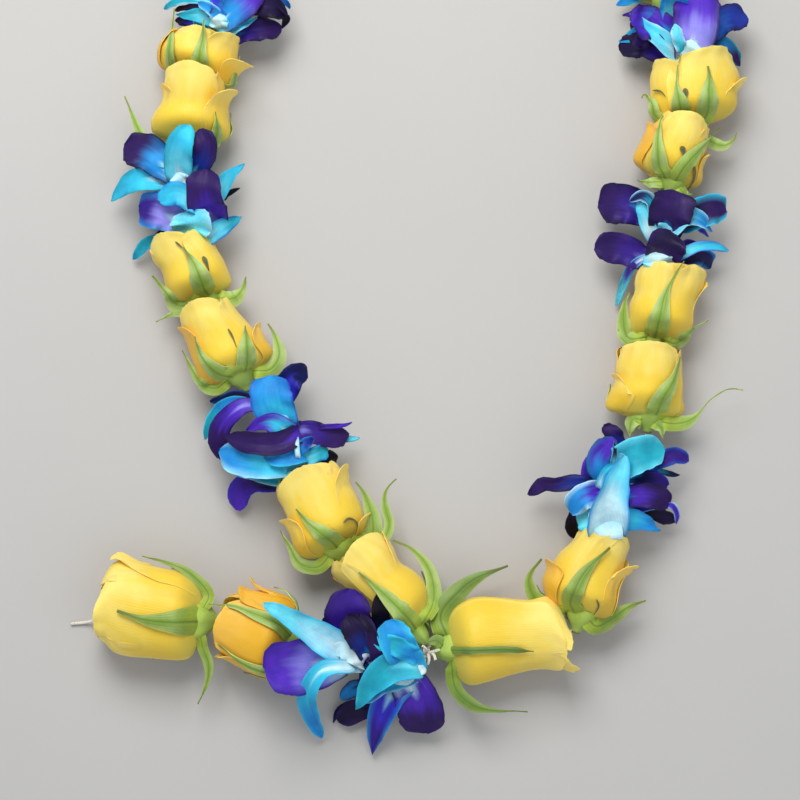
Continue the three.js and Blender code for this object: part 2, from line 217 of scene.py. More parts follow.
class Finish(Graph):
    def __init__(self, name, **fixed):
        self.material = bpy.data.materials.new(name)
        self.material.use_nodes = True
        super().__init__(self.material.node_tree)
        self.shader = self.tree.nodes["Principled BSDF"]
        for socket, value in fixed.items():
            self.shader.inputs[socket.replace("_", " ")].default_value = value

    def attribute(self, name, output="Color"):
        return self.get("ShaderNodeAttribute", {"attribute_name": name}, None, output)

    def across(self):  # the piece's own map: x from edge to edge, y from root to tip
        return self.parts(self.get("ShaderNodeUVMap", {"uv_map": "UVMap"}))

    def cloud(self, scale, detail):
        return self.noise(self.get("ShaderNodeTexCoord", None, None, "Object"), scale, detail)

    def shaded(self, colour, factor, low, high):  # a colour times a mix of two shades
        return self.mix(1.0, colour, self.mix(factor, low, high), blend="MULTIPLY")

    def bump(self, height, strength, depth):
        return self.get("ShaderNodeBump", None, {"Height": height, "Strength": strength, "Distance": depth})

    def feed(self, **links):
        for socket, value in links.items():
            self.tree.links.new(value.socket, self.shader.inputs[socket.replace("_", " ")])
        return self.material


# pale and edge: partly the petals' own paler rim, partly painted highlight
roseLook = {
    "petal": tint(248, 205, 62), "pale": tint(253, 226, 122), "deep": tint(240, 160, 14),
    "foot": tint(222, 200, 80), "roughness": 0.5, "veins": 46, "veinShade": ((0.965, 0.955, 0.93), (1, 1, 1)),
    # deep and depth: a deeper gold laid on petals lying further in and tucked behind, as painted shade
    "paleRimAndHighlight": 0.85, "edge": 0.4, "depth": 0.7, "cloud": 110, "relief": (0.25, 0.0012),
}
sepalLook = {
    "outer": tint(130, 164, 56), "bloom": tint(174, 196, 124), "foot": tint(172, 196, 66),
    "tip": tint(112, 126, 46), "rib": tint(104, 138, 42), "edge": tint(186, 206, 104),
    "stub": tint(104, 92, 52), "hip": tint(164, 194, 94),
    "mottle": ((0.82, 0.84, 0.8), (1.12, 1.1, 1.1)), "roughness": 0.45, "hipRoughness": 0.4,
    "grain": 420, "cloud": 90, "hipGrain": 300, "relief": (0.3, 0.0008), "hipRelief": (0.25, 0.0008),
}
orchidLook = {
    "roughness": 0.5, "veins": 30, "vein": 0.05, "midrib": 0.16, "cloud": 130, "relief": (0.45, 0.001),
    "veinShade": ((1.08, 1.08, 1.08), (0.78, 0.82, 0.9)), "mottle": ((0.78, 0.82, 0.88), (1.22, 1.18, 1.12)),
}
heartLook = {
    "pale": tint(186, 228, 238), "aqua": tint(84, 200, 222), "roughness": 0.3,
    "cloud": 160, "relief": (0.2, 0.001),
}
tintLabels = ("footTint", "midTint", "tipTint", "rimTint")  # what every blade carries for its finish
cottonLook = {
    "light": tint(240, 236, 224), "dark": tint(186, 178, 160), "roughness": 0.8,
    "fuzz": 2600, "cloud": 140, "relief": (0.5, 0.0004),
}


def rosePetalFinish():
    look = roseLook
    finish = Finish(
        "rosePetal", Subsurface_Weight=0.22, Subsurface_Scale=0.004, Subsurface_Radius=(1.0, 0.55, 0.12),
        Specular_IOR_Level=0.35, Sheen_Weight=0.08,
    )
    across, along, _ = finish.across()
    seed = finish.attribute("seed", "Fac")
    depth = finish.attribute("depth", "Fac")  # 0 on the outer petals, 1 at the heart; it sets how much deeper gold a petal takes as painted shade
    streak = finish.noise(finish.combine(across * 9.0, along * 1.6, seed * 20.0), 1.0, 3.0)
    cloud = finish.cloud(look["cloud"], 2.0)
    fan = (across - 0.5) * (look["veins"] * fullTurn) * (1.15 - along * 0.4) + streak * 5.0
    lines = finish.maths("SINE", fan)
    colour = finish.mix(finish.ramp(along, 0.0, 0.3), look["foot"], look["petal"])
    # paler towards the rim and along the edges: partly the petals' own paler rim, partly painted highlight
    paleRimAndHighlight = finish.ramp(along + (streak - 0.5) * 0.5 + (cloud - 0.5) * 0.6, 0.35, 1.05)
    colour = finish.mix(paleRimAndHighlight * look["paleRimAndHighlight"], colour, look["pale"])
    edge = finish.ramp(abs(across - 0.5) * 2.0 + (streak - 0.5) * 0.2, 0.86, 1.0)
    colour = finish.mix(edge * look["edge"], colour, look["pale"])
    # painted shade: petals lying further in and tucked behind get a deeper gold
    shadeGold = finish.ramp(depth + (seed - 0.5) * 0.5, 0.15, 1.0)
    colour = finish.mix(shadeGold * look["depth"], colour, look["deep"])
    colour = finish.shaded(colour, lines * 0.5 + 0.5, *look["veinShade"])
    rough = look["roughness"] + (streak - 0.5) * 0.2
    relief = finish.bump(streak * 0.6 + lines * 0.04 + cloud * 0.3, *look["relief"])
    return finish.feed(Base_Color=colour, Roughness=rough, Normal=relief)


def sepalFinish():
    look = sepalLook
    finish = Finish("sepalGreen", Subsurface_Weight=0.1, Subsurface_Scale=0.002, Sheen_Weight=0.15)
    across, along, _ = finish.across()
    off = abs(across - 0.5) * 2.0  # 0 on the midrib, 1 at the edge
    grain = finish.cloud(look["grain"], 3.0)
    cloud = finish.cloud(look["cloud"], 2.0)
    colour = finish.mix(finish.ramp(along, 0.05, 0.4), look["foot"], look["outer"])
    bloom = finish.ramp(off + (cloud - 0.5) * 1.2, 0.1, 0.75) * finish.ramp(along, 0.12, 0.45)
    colour = finish.mix(bloom * 0.75, colour, look["bloom"])
    colour = finish.mix(finish.ramp(along + (cloud - 0.5) * 0.3, 0.72, 1.0), colour, look["tip"])
    colour = finish.mix(finish.ramp(off, 0.16, 0.0) * 0.8, colour, look["rib"])
    colour = finish.mix(finish.ramp(off, 0.86, 0.97) * 0.7, colour, look["edge"])
    colour = finish.mix(1.0, colour, finish.attribute(tintLabels[0]), blend="MULTIPLY")
    colour = finish.shaded(colour, grain, *look["mottle"])
    rough = look["roughness"] + grain * 0.25
    ribs = finish.maths("SINE", off * 26.0)
    relief = finish.bump(finish.ramp(off, 0.0, 0.2) + ribs * 0.12 + grain * 0.5, *look["relief"])
    return finish.feed(Base_Color=colour, Roughness=rough, Normal=relief)


def hipFinish():
    look = sepalLook
    finish = Finish("hipGreen", Subsurface_Weight=0.1, Subsurface_Scale=0.003)
    _, along, _ = finish.across()
    grain = finish.cloud(look["hipGrain"], 3.0)
    colour = finish.mix(finish.ramp(along + (grain - 0.5) * 0.1, 0.1, 0.24), look["stub"], look["hip"])
    colour = finish.mix(finish.ramp(along, 0.45, 0.95), colour, look["foot"])
    colour = finish.shaded(colour, grain, *look["mottle"])
    rough = look["hipRoughness"] + grain * 0.2
    return finish.feed(Base_Color=colour, Roughness=rough, Normal=finish.bump(grain, *look["hipRelief"]))


def orchidPetalFinish():
    look = orchidLook
    finish = Finish(
        "dyedOrchidPetal", Subsurface_Weight=0.12, Subsurface_Scale=0.003, Subsurface_Radius=(0.3, 0.6, 1.0),
        Specular_IOR_Level=0.25,
    )
    across, along, _ = finish.across()
    seed = finish.attribute("seed", "Fac")
    off = abs(across - 0.5) * 2.0
    streak = finish.noise(finish.combine(across * 7.0, along * 1.4, seed * 30.0), 1.0, 3.0)
    cloud = finish.cloud(look["cloud"], 3.0)
    fan = (across - 0.5) * (look["veins"] * fullTurn) + streak * 4.0
    vein = finish.ramp(finish.maths("SINE", fan), 0.55, 1.0)
    midrib = finish.ramp(1 - off, 0.55, 1.0) * finish.ramp(1 - along, 0.1, 0.7)
    dye = along + (streak - 0.5) * 0.3 + (cloud - 0.5) * 0.2
    dye = dye - vein * look["vein"] - midrib * look["midrib"] + off * 0.05
    foot, middle, tip, rimTint = [finish.attribute(label) for label in tintLabels]
    colour = finish.mix(finish.ramp(dye, 0.14, 0.4), foot, middle)
    colour = finish.mix(finish.ramp(dye, 0.45, 0.8), colour, tip)
    rim = finish.ramp(off + (streak - 0.5) * 0.24 + (along - 0.5) * 0.2, 0.5, 1.0)
    rim = rim * 0.55 + finish.ramp(off, 0.86, 0.98) * 0.4
    colour = finish.mix(rim, colour, rimTint)
    colour = finish.shaded(colour, vein, *look["veinShade"])
    colour = finish.shaded(colour, finish.ramp(cloud, 0.25, 0.75), *look["mottle"])
    rough = look["roughness"] + (streak - 0.5) * 0.24
    relief = finish.bump(vein * 0.7 + streak * 0.8 + cloud * 0.5, *look["relief"])
    return finish.feed(Base_Color=colour, Roughness=rough, Normal=relief)


def heartFinish():
    look = heartLook
    finish = Finish("orchidHeart", Subsurface_Weight=0.2, Subsurface_Scale=0.003)
    _, along, _ = finish.across()
    cloud = finish.cloud(look["cloud"], 3.0)
    colour = finish.mix(finish.ramp(along + (cloud - 0.5) * 0.6, 0.1, 0.8), look["aqua"], look["pale"])
    rough = look["roughness"] + cloud * 0.25
    return finish.feed(Base_Color=colour, Roughness=rough, Normal=finish.bump(cloud, *look["relief"]))


def cottonFinish():
    look = cottonLook
    finish = Finish("cottonString", Sheen_Weight=0.4)
    fuzz = finish.cloud(look["fuzz"], 4.0)
    cloud = finish.cloud(look["cloud"], 2.0)
    colour = finish.mix(finish.ramp(fuzz * 0.7 + cloud * 0.3, 0.3, 0.62), look["dark"], look["light"])
    rough = look["roughness"] + fuzz * 0.15
    return finish.feed(Base_Color=colour, Roughness=rough, Normal=finish.bump(fuzz, *look["relief"]))


def floorFinish():
    finish = Finish("paleFloor", Roughness=0.85)
    darker = [part * (1 - studio["floorGrain"]) for part in studio["floor"]]
    lighter = [part * (1 + studio["floorGrain"]) for part in studio["floor"]]
    return finish.feed(Base_Color=finish.mix(finish.cloud(9.0, 4.0), darker, lighter))


materials = {
    "petal": rosePetalFinish(), "sepal": sepalFinish(), "hip": hipFinish(), "orchid": orchidPetalFinish(),
    "heart": heartFinish(), "cotton": cottonFinish(), "floor": floorFinish(),
}
print("finishes ready:", len(materials))

reach = studio["floorReach"]
corners = [(-reach, -reach, 0), (reach, -reach, 0), (reach, reach, 0), (-reach, reach, 0)]
floorMesh = bpy.data.meshes.new("floor")
floorMesh.from_pydata(corners, [], [(0, 1, 2, 3)])
floorMesh.materials.append(materials["floor"])
added("floor", floorMesh)


# Geometry trees


class Former(Graph):  # a geometry tree with named inputs
    kinds = {float: "NodeSocketFloat", int: "NodeSocketInt", str: "NodeSocketMaterial"}

    def __init__(self, name, inputs):
        super().__init__(bpy.data.node_groups.new(name, "GeometryNodeTree"))
        face = self.tree.interface
        face.new_socket("Geometry", in_out="INPUT", socket_type="NodeSocketGeometry")
        face.new_socket("Geometry", in_out="OUTPUT", socket_type="NodeSocketGeometry")
        self.identifiers = {}
        for label, value in {**inputs, "Material": "none"}.items():
            socket = face.new_socket(label, in_out="INPUT", socket_type=self.kinds[type(value)])
            self.identifiers[label] = socket.identifier
        self.source = self.add("NodeGroupInput")

    def input(self, name):
        return self.out(self.source, name)

    def named(self, name, kind="FLOAT"):
        return self.get("GeometryNodeInputNamedAttribute", {"data_type": kind}, {"Name": name})

    def store(self, geometry, name, value, kind="FLOAT", domain="POINT"):
        settings = {"data_type": kind, "domain": domain}
        values = {"Geometry": geometry, "Name": name, "Value": value}
        return self.get("GeometryNodeStoreNamedAttribute", settings, values)

    def smoothCurve(self):  # a smooth curve through the seed's points
        curve = self.get("GeometryNodeMeshToCurve", None, {0: self.input("Geometry")})
        return self.get("GeometryNodeCurveSplineType", {"spline_type": "CATMULL_ROM"}, {0: curve})

    def patches(self, seats, numbered=False):  # a grid on each seat: u is -1 to 1 across it, v 0 to 1 along
        counts = {"Vertices X": self.input("Columns"), "Vertices Y": self.input("Rows")}
        patch = self.get("GeometryNodeMeshGrid", None, {"Size X": 2.0, "Size Y": 1.0, **counts})
        patches = self.get("GeometryNodeInstanceOnPoints", None, {"Points": seats, "Instance": patch})
        if numbered:
            patches = self.store(patches, "number", self.get("GeometryNodeInputIndex"), "INT", "INSTANCE")
        patches = self.get("GeometryNodeRealizeInstances", None, {"Geometry": patches})
        u, v, _ = self.parts(self.get("GeometryNodeInputPosition"))
        return patches, u, v + 0.5

    def mapped(self, patches, u, v):  # the map that the finishes read
        return self.store(patches, "UVMap", self.combine(u * 0.5 + 0.5, v), "FLOAT2", "CORNER")

    def above(self, z):  # no lower than the floor
        return self.maths("MAXIMUM", z, self.input("Floor"))

    def close(self, geometry):  # real, smooth, in its material
        geometry = self.get("GeometryNodeRealizeInstances", None, {"Geometry": geometry})
        geometry = self.get("GeometryNodeSetShadeSmooth", None, {0: geometry})
        values = {"Geometry": geometry, "Material": self.input("Material")}
        self.add("NodeGroupOutput", None, {"Geometry": self.get("GeometryNodeSetMaterial", None, values)})
        return self


attributeKinds = {1: ("FLOAT", "value"), 3: ("FLOAT_VECTOR", "vector"), 4: ("FLOAT_COLOR", "color")}


def seedMesh(name, points, edges=(), **attributes):  # the points a tree grows from, and what each one carries
    mesh = bpy.data.meshes.new(name)
    mesh.from_pydata([tuple(point) for point in points], list(edges), [])
    for label, values in attributes.items():
        values = np.asarray(values, np.float32).reshape(len(points), -1)
        kind, key = attributeKinds[values.shape[1]]
        mesh.attributes.new(label, kind, "POINT").data.foreach_set(key, values.ravel())
    return mesh


def grow(former, mesh, material, inputs, thickness=0):  # runs a tree on its seed mesh, for a plain object
    source = added(mesh.name, mesh)
    modifier = source.modifiers.new("grow", "NODES")
    modifier.node_group = former.tree
    for label, value in inputs.items():
        modifier[former.identifiers[label]] = value
    modifier[former.identifiers["Material"]] = materials[material]
    if thickness:
        wall = source.modifiers.new("wall", "SOLIDIFY")
        wall.thickness = thickness * mm
        wall.offset = -1
        wall.use_quality_normals = True
    result = bpy.data.meshes.new_from_object(source.evaluated_get(bpy.context.evaluated_depsgraph_get()))
    bpy.data.objects.remove(source)
    return added(mesh.name, result)


def joined(first, other):
    with bpy.context.temp_override(active_object=first, selected_editable_objects=[first, other]):
        bpy.ops.object.join()
    return first


surfaceGap = 0.2  # mm, nothing sinks into the floor
sharpAngle = 50  # degrees


def settle(piece, node, matrix=None):  # puts a finished piece in place and ties it to its node
    if matrix is not None:
        piece.data.transform(matrix)
    spots = np.empty(len(piece.data.vertices) * 3, np.float32)
    piece.data.vertices.foreach_get("co", spots)
    spots[2::3] = np.maximum(spots[2::3], surfaceGap * mm)
    piece.data.vertices.foreach_set("co", spots)
    piece.data.set_sharp_from_angle(angle=math.radians(sharpAngle))
    piece.name = node + "_dressed"
    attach(piece, "root")
    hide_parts(node)


# The layout: where the string enters each flower, in threading order from the joint, and where a strand ends

napeKnot = (43, 283, stringHeight)
jointKnot = (12.5, -113.5, stringHeight)
tailStart = (11, -116.5, stringHeight)
tailEnd = (-131, -94, 19)
strands = [
    ([("rose_06", 11, -108), ("rose_05", -24, -72), ("orchid_03_lower", -43.5, -33.5),
      ("orchid_03_upper", -50.5, -15), ("rose_04", -69, 6), ("rose_03", -83.5, 41.5),
      ("orchid_02_lower", -94.5, 73.5), ("orchid_02_upper", -99, 97), ("rose_02", -93.5, 110),
      ("rose_01", -92.5, 138), ("orchid_01_lower", -84.5, 168), ("orchid_01_upper", -81.5, 186),
      ("rose_20", -76.5, 204), ("rose_19", -61, 236), ("orchid_09_lower", -37, 262.5),
      ("orchid_09_upper", -22, 271.5), ("rose_18", -3.5, 278)], napeKnot),
    ([("rose_12", 16, -112.5), ("rose_11", 79.5, -102.5), ("orchid_06_lower", 92.5, -61),
      ("orchid_06_upper", 102.5, -36), ("rose_10", 111.5, -12.5), ("rose_09", 113.5, 21.5),
      ("orchid_05_lower", 119.5, 62), ("orchid_05_upper", 115.5, 73), ("rose_08", 120, 92),
      ("rose_07", 130.5, 118), ("orchid_04_lower", 129.5, 154.5), ("orchid_04_upper", 126, 163),
      ("rose_15", 120.5, 173), ("rose_16", 120.5, 203), ("orchid_08_lower", 109.5, 237),
      ("orchid_08_upper", 99, 252), ("rose_17", 85.5, 265)], napeKnot),
    ([("orchid_07_lower", 8, -119.5), ("orchid_07_upper", -17, -117), ("rose_13", -43.5, -111.5),
      ("rose_14", -83, -99.5)], tailEnd),
]
tailLoose = [(-135.5, -98.5, 9), (-142, -101, 3), (-150, -102, 2)]  # comes down from the bud to the surface
columnShape = {"length": 12, "share": 0.72}  # mm, and at most this share of the way to the next flower


def flowerFrame(start, end):  # X right, Y ahead along the strand, Z up
    ahead = Vector(end - start).normalized()
    right = ahead.cross(Vector((0, 0, 1))).normalized()
    top = right.cross(ahead)
    matrix = Matrix((right, ahead, top)).transposed().to_4x4()
    matrix.translation = Vector(start)
    return matrix


frames = {}
columns = {}  # how long each blossom's column is
for flowers, end in strands:
    stops = [place(x, y) for _, x, y in flowers] + [place(*end)]
    for (name, _, _), start, stop in zip(flowers, stops, stops[1:]):
        frames[name] = flowerFrame(start, stop)
        gap = float(np.linalg.norm(stop - start)) / mm
        columns[name] = min(columnShape["length"], gap * columnShape["share"])

# Strings: three plies laid round the route that the flowers are threaded on

yarn = {
    "Ply Radius": 0.36 * mm, "Lay Radius": 0.36 * mm, "Pitch": 4.2 * mm, "Step": 0.55 * mm,
    "Plies": 3, "Sides": 6,
}
knotShape = {"reach": 1.3, "thickness": 0.8, "turns": 3, "points": 60}  # mm
knotEnds = [  # the cut ends that stick out of the joint's knot, from its middle
    [(0, 0, 1), (-1, 2, 4.5), (-2.4, 3.4, 6)], [(0, 0, 1), (2.4, 0.8, 5), (5.2, 1.8, 6.6)],
    [(0, 0, 1), (0.6, -2.4, 4.5), (0, -5, 4)], [(1, 0, 1), (2.6, -0.4, 5.5), (3.4, -2.8, 6.5)],
]


def yarnFormer():
    graph = Former("twistedYarn", yarn)
    values = {"Curve": graph.smoothCurve(), "Length": graph.input("Step")}
    curve = graph.get("GeometryNodeResampleCurve", {"mode": "LENGTH"}, values)
    values = {"Geometry": curve, "Amount": graph.input("Plies")}
    copies = graph.add("GeometryNodeDuplicateElements", {"domain": "SPLINE"}, values)
    length = graph.get("GeometryNodeSplineParameter", None, None, "Length")
    turn = length / graph.input("Pitch") + graph.out(copies, "Duplicate Index") / graph.input("Plies")
    angle = turn * fullTurn
    normal = graph.get("GeometryNodeInputNormal")
    side = graph.vector("CROSS_PRODUCT", graph.get("GeometryNodeInputTangent"), normal)
    lay = graph.input("Lay Radius")
    up = graph.vector("SCALE", normal, scale=graph.maths("COSINE", angle) * lay)
    out = graph.vector("SCALE", side, scale=graph.maths("SINE", angle) * lay)
    values = {"Geometry": graph.out(copies), "Offset": graph.vector("ADD", up, out)}
    plies = graph.get("GeometryNodeSetPosition", None, values)
    values = {"Resolution": graph.input("Sides"), "Radius": graph.input("Ply Radius")}
    ring = graph.get("GeometryNodeCurvePrimitiveCircle", None, values)
    values = {"Curve": plies, "Profile Curve": ring, "Fill Caps": True}
    return graph.close(graph.get("GeometryNodeCurveToMesh", None, values))


def chain(routes):  # several polylines as one list of points and edges
    points = np.concatenate(routes)
    ends = set(np.cumsum([len(route) for route in routes]) - 1)
    return points, [(i, i + 1) for i in range(len(points) - 1) if i not in ends]


def knotRoute(spot):  # a thread wound through itself, about its own middle
    angles = np.linspace(0, fullTurn, knotShape["points"])
    swing = knotShape["reach"] + knotShape["thickness"] * np.cos(knotShape["turns"] * angles)
    height = knotShape["thickness"] * np.sin(knotShape["turns"] * angles)
    return place(*spot) + mm * np.stack([swing * np.cos(2 * angles), swing * np.sin(2 * angles), height], 1)


def yarnPiece(node, routes):
    points, edges = chain(routes)
    settle(grow(yarnTree, seedMesh(node, points, edges), "cotton", yarn), node)


yarnTree = yarnFormer()
leftSide, rightSide, tail = [[place(x, y) for _, x, y in flowers] for flowers, _ in strands]
loopRoute = [place(*napeKnot), *leftSide[::-1], place(*jointKnot), *rightSide, place(*napeKnot)]
cutEnds = [place(*jointKnot) + mm * np.array(end) for end in knotEnds]
yarnPiece("loop_string", [loopRoute, knotRoute(napeKnot), knotRoute(jointKnot), *cutEnds])
tailRoute = [place(*tailStart), *tail, place(*tailEnd), *[place(*spot) for spot in tailLoose]]
yarnPiece("tail_string", [tailRoute])
print("strings ready")
